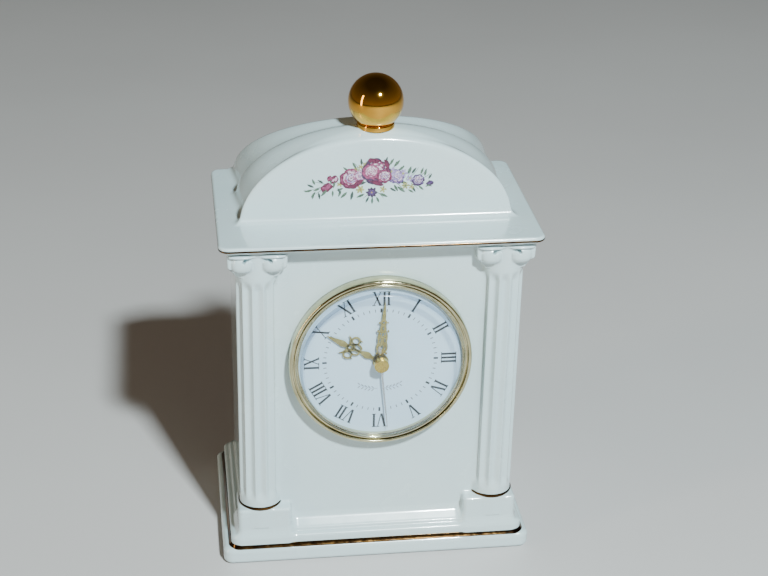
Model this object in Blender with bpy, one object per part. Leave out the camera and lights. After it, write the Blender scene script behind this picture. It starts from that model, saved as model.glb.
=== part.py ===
"""Porcelain mantel clock with fluted columns, arched pediment and push-in quartz insert.

Frame: +Z up, the clock faces -Y, origin on the table under the middle of the case.
Sizes are in millimetres and become metres in the mesh helpers.
"""
import bpy
import bmesh
from math import acos, atan2, cos, sin, pi, sqrt, tau

MM = 0.001
GAP = 0.3               # clearance left between neighbouring solids

# ---- porcelain case ----
BASE_W, BASE_FRONT, BASE_BACK, BASE_H = 157.6, -49.4, 48.2, 9.0
PLINTH_W, PLINTH_FRONT, PLINTH_BACK = 149.6, -47.6, 46.6
PLINTH_SHOULDER = 14.0  # height where the lower course of the plinth starts to turn in
COURSE_W, COURSE_BACK, COURSE_Z = 143.4, 45.4, 15.2
SILL_HALF, SILL_LOW_Y, SILL_LOW_Z, SILL_TOP_Y, SILL_TOP_Z = 43.6, -44.2, 17.0, -39.9, 21.3
TRAY_WALL = 4.5
PEDESTAL_IN, PEDESTAL_OUT = 44.0, 70.9
PEDESTAL_FRONT, PEDESTAL_BACK, PEDESTAL_TOP = -46.4, -25.6, 30.2
BODY_HALF, BODY_BACK, BODY_TOP = 69.0, 43.4, 172.0
WALL_START_OUT, WALL_START_IN = -30.8, -25.9     # the side walls' slanted front ends, behind the columns
WALL = 4.7
PANEL_FRONT, PANEL_HALF = -39.5, 48.3
COLUMN_X, COLUMN_Y, COLUMN_R = 59.3, -36.0, 10.5
COLUMN_TOP = 157.0
FLUTES, FLUTE_DEPTH = 12, 0.9
CAPITAL_TOP_HALF, CAPITAL_FOOT_HALF = 14.0, 11.3
CORNICE_W, CORNICE_D, CORNICE_Z, CORNICE_TOP = 154.8, 99.8, 172.3, 177.0
VAULT_HALF, VAULT_RISE, VAULT_POWER = 66.0, 44.2, 1.9
VAULT_FRONT, VAULT_BACK, VAULT_CROWN = -21.0, 48.4, 24.5
VAULT_WALL = 5.0
FLUTE_CUT = 0.035       # how far the vault's two hollows sink, as a share of its size
BALL_Y, BALL_Z, BALL_R = -9.0, 232.9, 13.3

# ---- quartz insert, all turned about the dial's axis ----
DIAL_Z = 111.1
HOLE_R, ACCESS_R = 41.0, 39.0
DIAL_Y, DIAL_R = -42.9, 41.2
MOVEMENT_HALF, MOVEMENT_CORNER, SKIN = 27.5, 4.0, 1.2
MOVEMENT_Y, SPLIT_Y, COVER_Y = -40.3, -33.6, -25.0
BAY_TOP = -10.0         # top of the cell bay, below the dial's axis
CELL_R, CELL_HALF, CELL_Y, CELL_DROP = 7.15, 24.4, -31.7, 18.5

# ---- wheel work: x and z offsets from the dial's axis ----
MOTION_AT = (-4.8, 8.31)
KNOB_AT = (-13.11, 13.11)
THIRD_AT = (-8.5, 0.0)
STEP_AT = (3.6, 6.24)
ROTOR_AT = (10.18, 8.63)


def material(name, rgb, roughness, metallic=0.0, alpha=1.0):
    """One Principled material."""
    mat = bpy.data.materials.new(name)
    mat.use_nodes = True
    shader = mat.node_tree.nodes["Principled BSDF"]
    shader.inputs["Base Color"].default_value = (*rgb, 1.0)
    shader.inputs["Roughness"].default_value = roughness
    shader.inputs["Metallic"].default_value = metallic
    shader.inputs["Alpha"].default_value = alpha
    return mat


def finish(name, bm, mat, origin=(0.0, 0.0, 0.0), sharp=30.0):
    """Turns a bmesh in millimetres into an object whose origin is at origin."""
    bmesh.ops.remove_doubles(bm, verts=bm.verts, dist=1e-5)
    bmesh.ops.recalc_face_normals(bm, faces=bm.faces)
    for vert in bm.verts:
        vert.co.x = (vert.co.x - origin[0]) * MM
        vert.co.y = (vert.co.y - origin[1]) * MM
        vert.co.z = (vert.co.z - origin[2]) * MM
    mesh = bpy.data.meshes.new(name)
    bm.to_mesh(mesh)
    bm.free()
    mesh.shade_smooth()
    mesh.set_sharp_from_angle(angle=sharp * pi / 180)
    mesh.materials.append(mat)
    obj = bpy.data.objects.new(name, mesh)
    obj.location = (origin[0] * MM, origin[1] * MM, origin[2] * MM)
    bpy.context.scene.collection.objects.link(obj)
    return obj


def place(axis, u, v, height):
    """A point from an outline's two coordinates and its height along the axis."""
    if axis == "Z":
        return (u, v, height)
    if axis == "X":
        return (height, u, v)
    return (u, height, v)


def skin(bm, levels, axis):
    """Side faces through a chain of (height, outline) levels; returns its first and last loops."""
    loops = []
    for height, outline in levels:
        loops.append([bm.verts.new(place(axis, u, v, height)) for u, v in outline])
    for (h0, _), (h1, _), low, high in zip(levels, levels[1:], loops, loops[1:]):
        if h0 == h1:
            fill_between(bm, low, high)
        else:
            for i in range(len(low)):
                j = (i + 1) % len(low)
                bm.faces.new((low[i], low[j], high[j], high[i]))
    return loops[0], loops[-1]


def ring_edges(bm, loop):
    """The edges of a closed loop, made where they are missing."""
    edges = []
    for i, vert in enumerate(loop):
        pair = (vert, loop[(i + 1) % len(loop)])
        edges.append(bm.edges.get(pair) or bm.edges.new(pair))
    return edges


def fill_between(bm, outer, inner):
    """Flat faces between two loops, one inside the other."""
    bmesh.ops.triangle_fill(bm, use_beauty=True, edges=ring_edges(bm, outer) + ring_edges(bm, inner))


def solid(name, levels, mat, axis="Z", hole=None, blind=None, origin=(0.0, 0.0, 0.0), sharp=30.0):
    """A solid lofted through levels. hole is a chain of levels that runs right through it;
    blind is a hollow whose first level is its floor and whose last lies in the solid's top."""
    bm = bmesh.new()
    first, last = skin(bm, levels, axis)
    if hole:
        hole_first, hole_last = skin(bm, hole, axis)
        fill_between(bm, first, hole_first)
        fill_between(bm, last, hole_last)
    elif blind:
        floor, mouth = skin(bm, blind, axis)
        bm.faces.new(floor)
        bm.faces.new(first)
        fill_between(bm, last, mouth)
    else:
        bm.faces.new(first)
        bm.faces.new(last)
    return finish(name, bm, mat, origin, sharp)


def turned(name, profile, mat, steps):
    """Turns a closed (radius, y) profile about the dial's axis."""
    bm = bmesh.new()
    verts = [bm.verts.new((r, y, DIAL_Z)) for r, y in profile]
    edges = [bm.edges.new(pair) for pair in zip(verts, verts[1:] + verts[:1])]
    bmesh.ops.spin(bm, geom=verts + edges, cent=(0.0, 0.0, DIAL_Z), axis=(0, 1, 0), angle=tau, steps=steps,
                   use_merge=True)
    return finish(name, bm, mat)


def circle(r, count, x=0.0, z=0.0, phase=0.0):
    """Points of a circle."""
    return [(x + r * cos(phase + tau * i / count), z + r * sin(phase + tau * i / count)) for i in range(count)]


def rounded(x0, x1, v0, v1, r, per_corner=4):
    """A rectangle with round corners."""
    points = []
    for cx, cv, turn in ((x1 - r, v1 - r, 0), (x0 + r, v1 - r, 1), (x0 + r, v0 + r, 2), (x1 - r, v0 + r, 3)):
        for i in range(per_corner + 1):
            a = pi / 2 * (turn + i / per_corner)
            points.append((cx + r * cos(a), cv + r * sin(a)))
    return points


def inset(box, amount):
    """A rectangle's (x0, x1, v0, v1) moved in on each side."""
    return box[0] + amount, box[1] - amount, box[2] + amount, box[3] - amount


def tooth_ring(teeth, module, at, half_tooth, phase=0.0):
    """Outline of a gear: a flat-topped tooth of four points, half_tooth wide at its root."""
    x, z = at[0], DIAL_Z + at[1]
    tip, root = module * (teeth / 2 + 0.8), module * (teeth / 2 - 1.1)
    pitch = tau / teeth
    points = []
    for i in range(teeth):
        a = phase + pitch * i
        corners = ((root, -half_tooth), (tip, -0.45 * half_tooth), (tip, 0.45 * half_tooth), (root, half_tooth))
        for r, side in corners:
            points.append((x + r * cos(a + side * pitch), z + r * sin(a + side * pitch)))
    return points


def shaft(r, at, count=12):
    """Outline of a round shaft at an offset from the dial's axis."""
    return circle(r, count, at[0], DIAL_Z + at[1])


def axis_point(at, y):
    """Origin of a piece that turns about the axis through at."""
    return (at[0], y, DIAL_Z + at[1])


def mesh_phase(at_a, teeth_a, phase_a, at_b, teeth_b):
    """Phase that sets gear b's gap on gear a's tooth along the line between their centres."""
    from_a = atan2(at_b[1] - at_a[1], at_b[0] - at_a[0])
    from_b = from_a + pi
    tooth = (from_a - phase_a) / (tau / teeth_a)
    offset = tooth - round(tooth)
    return from_b + (tau / teeth_b) * (0.5 + offset)


def build_base(mat):
    """Two-step plinth: a tray whose floor stands on the table, with a sill between the pedestals."""
    slab = (-BASE_W / 2, BASE_W / 2, BASE_FRONT, BASE_BACK)
    plinth = (-PLINTH_W / 2, PLINTH_W / 2, PLINTH_FRONT, PLINTH_BACK)
    course_x = COURSE_W / 2

    def course(front_y):
        return [(-course_x, COURSE_BACK), (-course_x, PEDESTAL_BACK + GAP), (-SILL_HALF, PEDESTAL_BACK + GAP),
                (-SILL_HALF, front_y), (SILL_HALF, front_y), (SILL_HALF, PEDESTAL_BACK + GAP),
                (course_x, PEDESTAL_BACK + GAP), (course_x, COURSE_BACK)]

    levels = [(0.0, rounded(*inset(slab, 1.6), 6.0)), (1.6, rounded(*slab, 6.0)),
              (BASE_H - 1.4, rounded(*slab, 6.0)), (BASE_H, rounded(*inset(slab, 1.2), 6.0)),
              (BASE_H, rounded(*plinth, 5.0)), (PLINTH_SHOULDER, rounded(*plinth, 5.0)),
              (COURSE_Z, rounded(*inset(plinth, 1.4), 5.0)), (COURSE_Z, course(SILL_LOW_Y)),
              (SILL_LOW_Z, course(SILL_LOW_Y)), (SILL_TOP_Z, course(SILL_TOP_Y))]
    well = rounded(-PANEL_HALF + 14.0, PANEL_HALF - 14.0, PANEL_FRONT + WALL, BODY_BACK - WALL, 4.0)
    solid("base", levels, mat, blind=[(TRAY_WALL, well), (SILL_TOP_Z, well)])


def build_pedestal(name, side, mat):
    """Corner block under a column, with softened edges."""
    x0, x1 = sorted((side * PEDESTAL_IN, side * PEDESTAL_OUT))
    box = (x0, x1, PEDESTAL_FRONT, PEDESTAL_BACK)
    levels = [(COURSE_Z + GAP, rounded(*box, 1.5, 2)), (PEDESTAL_TOP - 1.0, rounded(*box, 1.5, 2)),
              (PEDESTAL_TOP, rounded(*inset(box, 0.9), 1.5, 2))]
    solid(name, levels, mat)


def fluted(x, r, depth):
    """Outline of a fluted column: twelve hollows with narrow ridges between."""
    points = []
    per_flute = 3
    for i in range(FLUTES * per_flute):
        a = tau * i / (FLUTES * per_flute)
        hollow = abs(sin(FLUTES * a / 2))
        reach = r - depth * hollow
        points.append((x + reach * cos(a), COLUMN_Y + reach * sin(a)))
    return points


def build_column(name, side, mat):
    """Round fluted column with a flared foot."""
    x = side * COLUMN_X
    foot = PEDESTAL_TOP + GAP
    levels = [(foot, fluted(x, 10.4, 0.0)), (foot + 2.0, fluted(x, 10.6, 0.0)),
              (foot + 5.0, fluted(x, 10.1, 0.1)), (foot + 9.0, fluted(x, 10.2, FLUTE_DEPTH)),
              (COLUMN_TOP - 6.0, fluted(x, COLUMN_R, FLUTE_DEPTH)), (COLUMN_TOP, fluted(x, 10.2, 0.1))]
    solid(name, levels, mat, sharp=50.0)


def build_capital(name, side, mat):
    """Capital: a block that widens upward, with a roll at each side of its front."""
    x = side * COLUMN_X
    z0, z1 = COLUMN_TOP + GAP, BODY_TOP
    steps = 6
    flare = []
    for i in range(steps + 1):
        t = i / steps
        half = CAPITAL_FOOT_HALF + (CAPITAL_TOP_HALF - CAPITAL_FOOT_HALF) * t * t
        flare.append((half, z0 + (z1 - z0) * t))
    outline = [(x + half, z) for half, z in flare] + [(x - half, z) for half, z in reversed(flare)]
    block = solid(name, [(-46.2, outline), (-25.6, outline)], mat, axis="Y")
    for roll_side in (-1, 1):
        roll = solid(name + "_roll", [(-48.0, circle(3.6, 20, x + roll_side * 6.4, z0 + 8.0)),
                                      (-44.0, circle(3.6, 20, x + roll_side * 6.4, z0 + 8.0))], mat, axis="Y")
        as_operand(block, roll, "UNION")


def as_operand(target, operand, operation):
    """Boolean of two solids; the operand is kept only as a hidden helper."""
    operand.hide_render = True
    operand.display_type = "WIRE"
    modifier = target.modifiers.new(operation.lower(), "BOOLEAN")
    modifier.operation = operation
    modifier.solver = "EXACT"
    modifier.object = operand


def build_shell(mat):
    """Side walls and rear wall, with the round access hole in the rear."""
    x0, x1 = BODY_HALF - WALL, BODY_HALF
    back = BODY_BACK - WALL
    outline = [(-x1, WALL_START_OUT), (-x0, WALL_START_IN), (-x0, back), (x0, back), (x0, WALL_START_IN),
               (x1, WALL_START_OUT),
               (x1, BODY_BACK - 3.0), (x1 - 3.0, BODY_BACK), (3.0 - x1, BODY_BACK), (-x1, BODY_BACK - 3.0)]
    shell = solid("case_shell", [(SILL_TOP_Z + GAP, outline), (BODY_TOP, outline)], mat)
    cutter = solid("access_cutter", [(back - 5.0, circle(ACCESS_R, 40, 0.0, DIAL_Z)),
                                     (BODY_BACK + 5.0, circle(ACCESS_R, 40, 0.0, DIAL_Z))], mat, axis="Y")
    as_operand(shell, cutter, "DIFFERENCE")
    notch_back = PEDESTAL_BACK + GAP
    reach = x1 + 2.0
    notch_front = WALL_START_OUT - 2.0
    notch = [(-reach, notch_front), (reach, notch_front), (reach, notch_back), (-reach, notch_back)]
    notches = (("pedestal_notch", SILL_TOP_Z, PEDESTAL_TOP + GAP),
               ("capital_notch", COLUMN_TOP, BODY_TOP + 2.0))
    for name, z0, z1 in notches:
        as_operand(shell, solid(name, [(z0, notch), (z1, notch)], mat), "DIFFERENCE")


def build_panel(mat):
    """Flat front between the columns, with the insert's hole."""
    low, high = PEDESTAL_TOP + GAP, COLUMN_TOP
    foot_half, head_half = PEDESTAL_IN - GAP, COLUMN_X - CAPITAL_TOP_HALF - GAP
    right = [(foot_half, SILL_TOP_Z + GAP), (foot_half, low), (PANEL_HALF, low), (PANEL_HALF, high),
             (head_half, high), (head_half, BODY_TOP)]
    plate = right + [(-x, z) for x, z in reversed(right)]
    hole = circle(HOLE_R, 40, 0.0, DIAL_Z)
    span = (PANEL_FRONT, PANEL_FRONT + WALL)
    solid("front_panel", [(y, plate) for y in span], mat, axis="Y", hole=[(y, hole) for y in span])


def build_cornice(mat):
    """Overhanging slab with a narrower moulding below and rounded upper edges."""
    slab = (-CORNICE_W / 2, CORNICE_W / 2, -CORNICE_D / 2, CORNICE_D / 2)
    levels = [(CORNICE_Z, rounded(*inset(slab, 3.2), 4.0)), (CORNICE_Z + 1.3, rounded(*inset(slab, 1.4), 4.5)),
              (CORNICE_Z + 1.6, rounded(*inset(slab, 0.2), 5.0)), (CORNICE_Z + 3.0, rounded(*slab, 5.0)),
              (CORNICE_TOP - 0.5, rounded(*inset(slab, 0.7), 5.0)), (CORNICE_TOP, rounded(*inset(slab, 2.0), 5.0))]
    solid("cornice", levels, mat)


def vault_point(t, depth, shrink):
    """Outer surface of the vault. t runs 0 to 1 over the arch; depth runs 0 (front) to 1 (back)."""
    dip = abs(sin(tau * depth))
    size = 1.0 - FLUTE_CUT * dip
    half = (VAULT_HALF - shrink) * size
    rise = (VAULT_RISE - shrink) * size
    a = pi * (1.0 - t)
    across = abs(cos(a)) ** (2 / VAULT_POWER)
    up = abs(sin(a)) ** (2 / VAULT_POWER)
    x = half * across * (1 if cos(a) >= 0 else -1)
    y_foot = VAULT_FRONT + shrink + (VAULT_BACK - VAULT_FRONT - 2 * shrink) * depth
    y_crown = VAULT_FRONT + shrink + (VAULT_CROWN - 2 * shrink) * depth
    return (x, y_foot + (y_crown - y_foot) * up, CORNICE_TOP + GAP + rise * up)


def build_vault(mat):
    """Arched pediment: upright front, three ridges with two hollows between, back leaning forward.
    It is a shell, open below."""
    bm = bmesh.new()
    across, deep = 20, 8
    skins = []
    for shrink in (0.0, VAULT_WALL):
        grid = [[bm.verts.new(vault_point(i / across, j / deep, shrink)) for i in range(across + 1)]
                for j in range(deep + 1)]
        for j in range(deep):
            for i in range(across):
                bm.faces.new((grid[j][i], grid[j][i + 1], grid[j + 1][i + 1], grid[j + 1][i]))
        bm.faces.new(grid[0])
        bm.faces.new(grid[-1])
        left = [row[0] for row in grid]
        right = [row[-1] for row in grid]
        skins.append(left + right[::-1])
    outer, inner = skins
    for i in range(len(outer)):
        j = (i + 1) % len(outer)
        bm.faces.new((outer[i], outer[j], inner[j], inner[i]))
    finish("vault", bm, mat, sharp=35.0)


def build_finial(gold):
    """Ball on a low collar."""
    collar_z = CORNICE_TOP + GAP + VAULT_RISE + GAP
    levels = [(collar_z, circle(8.4, 32, 0.0, BALL_Y)), (collar_z + 0.4, circle(8.9, 32, 0.0, BALL_Y)),
              (collar_z + 0.9, circle(8.6, 32, 0.0, BALL_Y))]
    solid("finial_collar", levels, gold)
    cut = collar_z + 0.9 + GAP
    low = BALL_Z - cut
    first = pi - acos(low / BALL_R)
    rings = 9
    ball = []
    for i in range(rings):
        a = first * (1 - i / rings)
        ball.append((BALL_Z + BALL_R * cos(a), circle(BALL_R * sin(a), 24, 0.0, BALL_Y)))
    bm = bmesh.new()
    base, top = skin(bm, ball, "Z")
    bm.faces.new(base)
    pole = bm.verts.new((0.0, BALL_Y, BALL_Z + BALL_R))
    for i in range(len(top)):
        bm.faces.new((top[i], top[(i + 1) % len(top)], pole))
    finish("finial_ball", bm, gold)


def build_insert_front(mats):
    """Bezel, lens, dial, housing ring and gasket."""
    turned("bezel", [(45.0, -39.8), (45.0, -45.3), (44.5, -46.4), (43.8, -46.8), (43.2, -46.6), (41.2, -45.7),
                     (41.2, -44.6), (40.2, -44.6), (40.2, -43.2), (41.6, -43.2), (41.6, -39.8)],
           mats["brass"], steps=40)
    edge_r, seat_r, rise, thick = 40.9, 40.0, 5.9, 1.0
    sphere = (edge_r * edge_r + rise * rise) / (2 * rise)
    rings = 4
    lens = [(edge_r, -44.9)]
    for i in range(rings + 1):
        r = edge_r * (1 - i / rings)
        lens.append((r, -45.6 - rise + sphere - sqrt(sphere * sphere - r * r)))
    for i in range(rings + 1):
        r = seat_r * i / rings
        lens.append((r, -45.6 - rise + thick + sphere - sqrt(sphere * sphere - r * r)))
    lens.append((seat_r, -44.9))
    turned("lens", lens, mats["glass"], steps=36)
    turned("dial", [(3.7, DIAL_Y), (DIAL_R, DIAL_Y), (DIAL_R, DIAL_Y + 0.5), (3.7, DIAL_Y + 0.5)],
           mats["dial_white"], steps=36)
    turned("cup", [(3.8, -42.1), (DIAL_R, -42.1), (DIAL_R, -40.2), (39.2, -40.2), (39.2, -26.0), (37.6, -26.0),
                   (37.6, -40.6), (3.8, -40.6)], mats["black_plastic"], steps=36)
    turned("gasket", [(39.5, -39.4), (40.7, -39.4), (40.7, -38.0), (40.2, -37.4), (40.7, -36.8), (40.7, -35.2),
                      (39.5, -35.2)], mats["rubber"], steps=36)
    turned("bushing", [(2.8, -43.5), (3.4, -43.5), (3.4, -40.8), (2.8, -40.8)], mats["brass"], steps=20)


def movement_outline(shrink=0.0):
    """Square outline of the movement, round corners."""
    half = MOVEMENT_HALF - shrink
    return rounded(-half, half, DIAL_Z - half, DIAL_Z + half, MOVEMENT_CORNER - shrink, 3)


def build_movement_case(plastic):
    """Front half with the cell bay, and the cover over the wheels."""
    inner_y = MOVEMENT_Y + SKIN
    wall = MOVEMENT_HALF - SKIN
    bay_top = DIAL_Z + BAY_TOP
    front = solid("movement_front", [(MOVEMENT_Y, movement_outline()), (COVER_Y, movement_outline())],
                  plastic, axis="Y")
    upper_room = rounded(-wall, wall, bay_top, DIAL_Z + wall, MOVEMENT_CORNER - SKIN, 3)
    room = solid("wheel_room", [(inner_y, upper_room), (COVER_Y + 5.0, upper_room)], plastic, axis="Y")
    as_operand(front, room, "DIFFERENCE")
    bay_box = rounded(-wall, wall, DIAL_Z - wall, bay_top - SKIN, MOVEMENT_CORNER - SKIN, 3)
    bay = solid("cell_room", [(inner_y, bay_box), (COVER_Y + 5.0, bay_box)], plastic, axis="Y")
    as_operand(front, bay, "DIFFERENCE")
    top_cut = [(-MOVEMENT_HALF - 2, bay_top), (MOVEMENT_HALF + 2, bay_top),
               (MOVEMENT_HALF + 2, DIAL_Z + MOVEMENT_HALF + 2), (-MOVEMENT_HALF - 2, DIAL_Z + MOVEMENT_HALF + 2)]
    lid_cut = solid("lid_room", [(SPLIT_Y, top_cut), (COVER_Y + 5.0, top_cut)], plastic, axis="Y")
    as_operand(front, lid_cut, "DIFFERENCE")
    centre = shaft(3.7, (0, 0), 20)
    centre_cut = solid("centre_room", [(MOVEMENT_Y - 2.0, centre), (inner_y + 1, centre)], plastic, axis="Y")
    as_operand(front, centre_cut, "DIFFERENCE")
    half = MOVEMENT_HALF
    outer = rounded(-half, half, bay_top + GAP, DIAL_Z + half, MOVEMENT_CORNER, 3)
    hollow = rounded(-wall, wall, bay_top + GAP + SKIN, DIAL_Z + wall, MOVEMENT_CORNER - SKIN, 3)
    cover = solid("movement_cover", [(COVER_Y, outer), (SPLIT_Y + GAP, outer)], plastic, axis="Y",
                  blind=[(COVER_Y - SKIN, hollow), (SPLIT_Y + GAP, hollow)])
    knob_cut = solid("knob_room", [(COVER_Y - 5.0, shaft(1.3, KNOB_AT)), (COVER_Y + 5.0, shaft(1.3, KNOB_AT))],
                     plastic, axis="Y")
    as_operand(cover, knob_cut, "DIFFERENCE")


def build_electrics(mats):
    """Coil, stator, circuit board, crystal, contacts and the cell."""
    z = DIAL_Z
    coil = rounded(3.5, 24.0, z + 15.6, z + 24.4, 2.0, 3)
    solid("coil", [(-31.4, coil), (-26.9, coil)], mats["copper"], axis="Y")
    rx, rz = ROTOR_AT
    bar = [(rx - 7.5, z + rz - 4.6), (rx + 14.5, z + rz - 4.6), (rx + 14.5, z + rz + 4.6), (rx - 7.5, z + rz + 4.6)]
    bore = circle(3.4, 20, rx, z + rz)
    solid("stator", [(y, bar) for y in (-29.6, -28.8)], mats["steel"], axis="Y",
          hole=[(y, bore) for y in (-29.6, -28.8)])
    board = [(-25.6, z + 17.2), (-3.5, z + 17.2), (-3.5, z + 25.6), (-20.0, z + 25.6), (-25.6, z + 20.0)]
    solid("circuit_board", [(-30.6, board), (-29.8, board)], mats["board"], axis="Y")
    can = circle(1.1, 12, -28.3, z + 21.5)
    solid("crystal", [(-14.0, can), (-8.0, can)], mats["steel"], axis="X")
    low = z - CELL_DROP
    for name, side in (("contact_plus", 1), ("contact_minus", -1)):
        x0, x1 = sorted((side * 25.75, side * 26.05))
        plate = rounded(CELL_Y - 4.0, CELL_Y + 4.0, low - 4.5, low + 4.5, 1.0, 2)
        solid(name, [(x0, plate), (x1, plate)], mats["steel"], axis="X")
    body = circle(CELL_R, 28, CELL_Y, low)
    neck = circle(CELL_R - 0.7, 28, CELL_Y, low)
    nub = circle(2.7, 28, CELL_Y, low)
    solid("cell", [(-CELL_HALF, neck), (-CELL_HALF + 0.5, body), (CELL_HALF - 0.6, body), (CELL_HALF, neck),
                   (CELL_HALF, nub), (CELL_HALF + 1.1, nub)], mats["cell_foil"], axis="X",
          origin=(0.0, CELL_Y, low))


def wheel(name, mat, at, parts, y_origin, bore=None):
    """A turning piece: parts is a chain of (y0, y1, outline) along its axis."""
    levels = []
    for y0, y1, outline in parts:
        levels.extend([(y0, outline), (y1, outline)])
    hole = None
    if bore:
        hole = [(parts[0][0], shaft(bore, at, 16)), (parts[-1][1], shaft(bore, at, 16))]
    return solid(name, levels, mat, axis="Y", hole=hole, origin=axis_point(at, y_origin))


def build_motion_work(mats):
    """Cannon pinion, motion wheel, hour wheel and setting knob."""
    centre = (0.0, 0.0)
    big, small = 0.4, 0.384
    hour_teeth = tooth_ring(40, small, centre, 0.24)
    motion_small = tooth_ring(10, small, MOTION_AT, 0.24, mesh_phase(centre, 40, 0.0, MOTION_AT, 10))
    motion_big = tooth_ring(36, big, MOTION_AT, 0.24)
    cannon = tooth_ring(12, big, centre, 0.24, mesh_phase(MOTION_AT, 36, 0.0, centre, 12))
    knob_teeth = tooth_ring(12, big, KNOB_AT, 0.24, mesh_phase(MOTION_AT, 36, 0.0, KNOB_AT, 12))
    wheel("hour_wheel", mats["nylon"], centre,
          [(-43.7, -38.8, shaft(2.5, centre, 16)), (-38.8, -38.0, hour_teeth)], -44.0, bore=1.9)
    wheel("motion_wheel", mats["nylon"], MOTION_AT,
          [(-38.9, -37.6, motion_small), (-37.6, -36.9, motion_big), (-36.9, -36.4, shaft(0.5, MOTION_AT))], -38.0)
    wheel("cannon_pinion", mats["brass"], centre,
          [(-44.3, -37.7, shaft(1.5, centre, 16)), (-37.7, -36.8, cannon), (-36.8, -35.5, shaft(1.5, centre, 16))],
          -44.0, bore=0.8)
    knurl = tooth_ring(20, 0.6, KNOB_AT, 0.3)
    wheel("setting_knob", mats["nylon"], KNOB_AT,
          [(-37.6, -36.8, knob_teeth), (-36.8, -24.6, shaft(1.0, KNOB_AT)), (-24.6, -21.6, knurl)], -24.0)


def build_train(mats):
    """Rotor to second wheel, and second wheel to minute wheel."""
    centre = (0.0, 0.0)
    minute_teeth = tooth_ring(64, 8.5 / 36, centre, 0.24)
    third_small = tooth_ring(8, 8.5 / 36, THIRD_AT, 0.24, mesh_phase(centre, 64, 0.0, THIRD_AT, 8))
    third_big = tooth_ring(60, 0.25, THIRD_AT, 0.24)
    second_small = tooth_ring(8, 0.25, centre, 0.24, mesh_phase(THIRD_AT, 60, 0.0, centre, 8))
    second_big = tooth_ring(30, 0.4, centre, 0.24)
    step_small = tooth_ring(6, 0.4, STEP_AT, 0.24, mesh_phase(centre, 30, 0.0, STEP_AT, 6))
    step_big = tooth_ring(48, 0.25, STEP_AT, 0.24)
    rotor_teeth = tooth_ring(8, 0.25, ROTOR_AT, 0.24, mesh_phase(STEP_AT, 48, 0.0, ROTOR_AT, 8))
    wheel("minute_wheel", mats["nylon"], centre, [(-36.3, -35.7, minute_teeth)], -36.0, bore=1.54)
    wheel("third_wheel", mats["nylon"], THIRD_AT,
          [(-36.4, -35.0, third_small), (-35.0, -34.4, third_big), (-34.4, -34.1, shaft(0.5, THIRD_AT))], -35.0)
    wheel("second_wheel", mats["nylon"], centre,
          [(-45.3, -35.1, shaft(0.5, centre)), (-35.1, -33.6, second_small), (-33.6, -33.0, second_big),
           (-33.0, -32.6, shaft(0.5, centre))], -45.0)
    wheel("step_wheel", mats["nylon"], STEP_AT,
          [(-33.7, -32.3, step_small), (-32.3, -31.7, step_big), (-31.7, -30.2, shaft(0.4, STEP_AT))], -32.0)
    wheel("rotor_pinion", mats["steel"], ROTOR_AT,
          [(-32.4, -31.6, rotor_teeth), (-31.6, -26.6, shaft(0.4, ROTOR_AT))], -32.0)
    wheel("rotor_magnet", mats["magnet"], ROTOR_AT, [(-30.3, -28.2, shaft(2.8, ROTOR_AT, 20))], -30.0, bore=0.7)


def hand_outline(length, tail, root, widths):
    """Outline of a hand that points up from the dial's axis; widths is (share of length, half width)."""
    right = [(half, DIAL_Z + length * share) for share, half in widths]
    left = [(-half, DIAL_Z + length * share) for share, half in reversed(widths)]
    hub = [(root * cos(a), DIAL_Z + root * sin(a)) for a in [pi + pi * 0.3 + pi * 0.4 * i / 4 for i in range(5)]]
    if tail:
        hub = [(-0.4, DIAL_Z - tail), (0.4, DIAL_Z - tail)]
    return right + [(0.0, DIAL_Z + length)] + left + hub


def turn_outline(outline, degrees):
    """Turns an outline clockwise, as seen from the front, about the dial's axis."""
    a = -degrees * pi / 180
    return [(x * cos(a) - (z - DIAL_Z) * sin(a), DIAL_Z + x * sin(a) + (z - DIAL_Z) * cos(a))
            for x, z in outline]


def build_hands(mats):
    """Hour, minute and second hand, with the cap of the second hand."""
    def hand(name, y0, y1, outline, bore, mat):
        hole = shaft(bore, (0.0, 0.0), 16)
        solid(name, [(y0, outline), (y1, outline)], mat, axis="Y", hole=[(y0, hole), (y1, hole)],
              origin=(0.0, y0, DIAL_Z))

    hour = hand_outline(29.5, 0.0, 4.4, [(0.08, 3.8), (0.17, 1.6), (0.24, 1.9), (0.36, 1.0), (0.46, 3.0), (0.54, 5.4),
                                         (0.62, 5.4), (0.66, 2.2), (0.8, 1.3), (0.92, 0.6)])
    minute = hand_outline(33.0, 0.0, 3.4, [(0.06, 2.8), (0.13, 1.4), (0.2, 2.6), (0.3, 2.7), (0.45, 2.3),
                                           (0.62, 1.7), (0.76, 1.1), (0.92, 0.6)])
    second = hand_outline(37.0, 9.0, 2.0, [(0.02, 1.7), (0.07, 0.35), (0.6, 0.3), (0.95, 0.2)])
    second = second[:-2] + [(-0.5, DIAL_Z - 2.0), (-0.5, DIAL_Z - 9.0), (0.5, DIAL_Z - 9.0), (0.5, DIAL_Z - 2.0)]
    hand("hour_hand", -44.1, -43.9, turn_outline(hour, 300.2), 2.2, mats["brass"])
    hand("minute_hand", -44.75, -44.55, turn_outline(minute, 2.9), 1.2, mats["brass"])
    hand("second_hand", -45.25, -45.1, turn_outline(second, 174.0), 0.75, mats["steel"])
    cap = ((-49.4, 3.0), (-49.0, 3.6), (-46.4, 3.6), (-46.4, 1.4), (-45.55, 1.4))
    solid("hub_cap", [(y, shaft(r, (0.0, 0.0), 24)) for y, r in cap], mats["brass"],
          axis="Y", origin=(0.0, -46.0, DIAL_Z))


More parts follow.
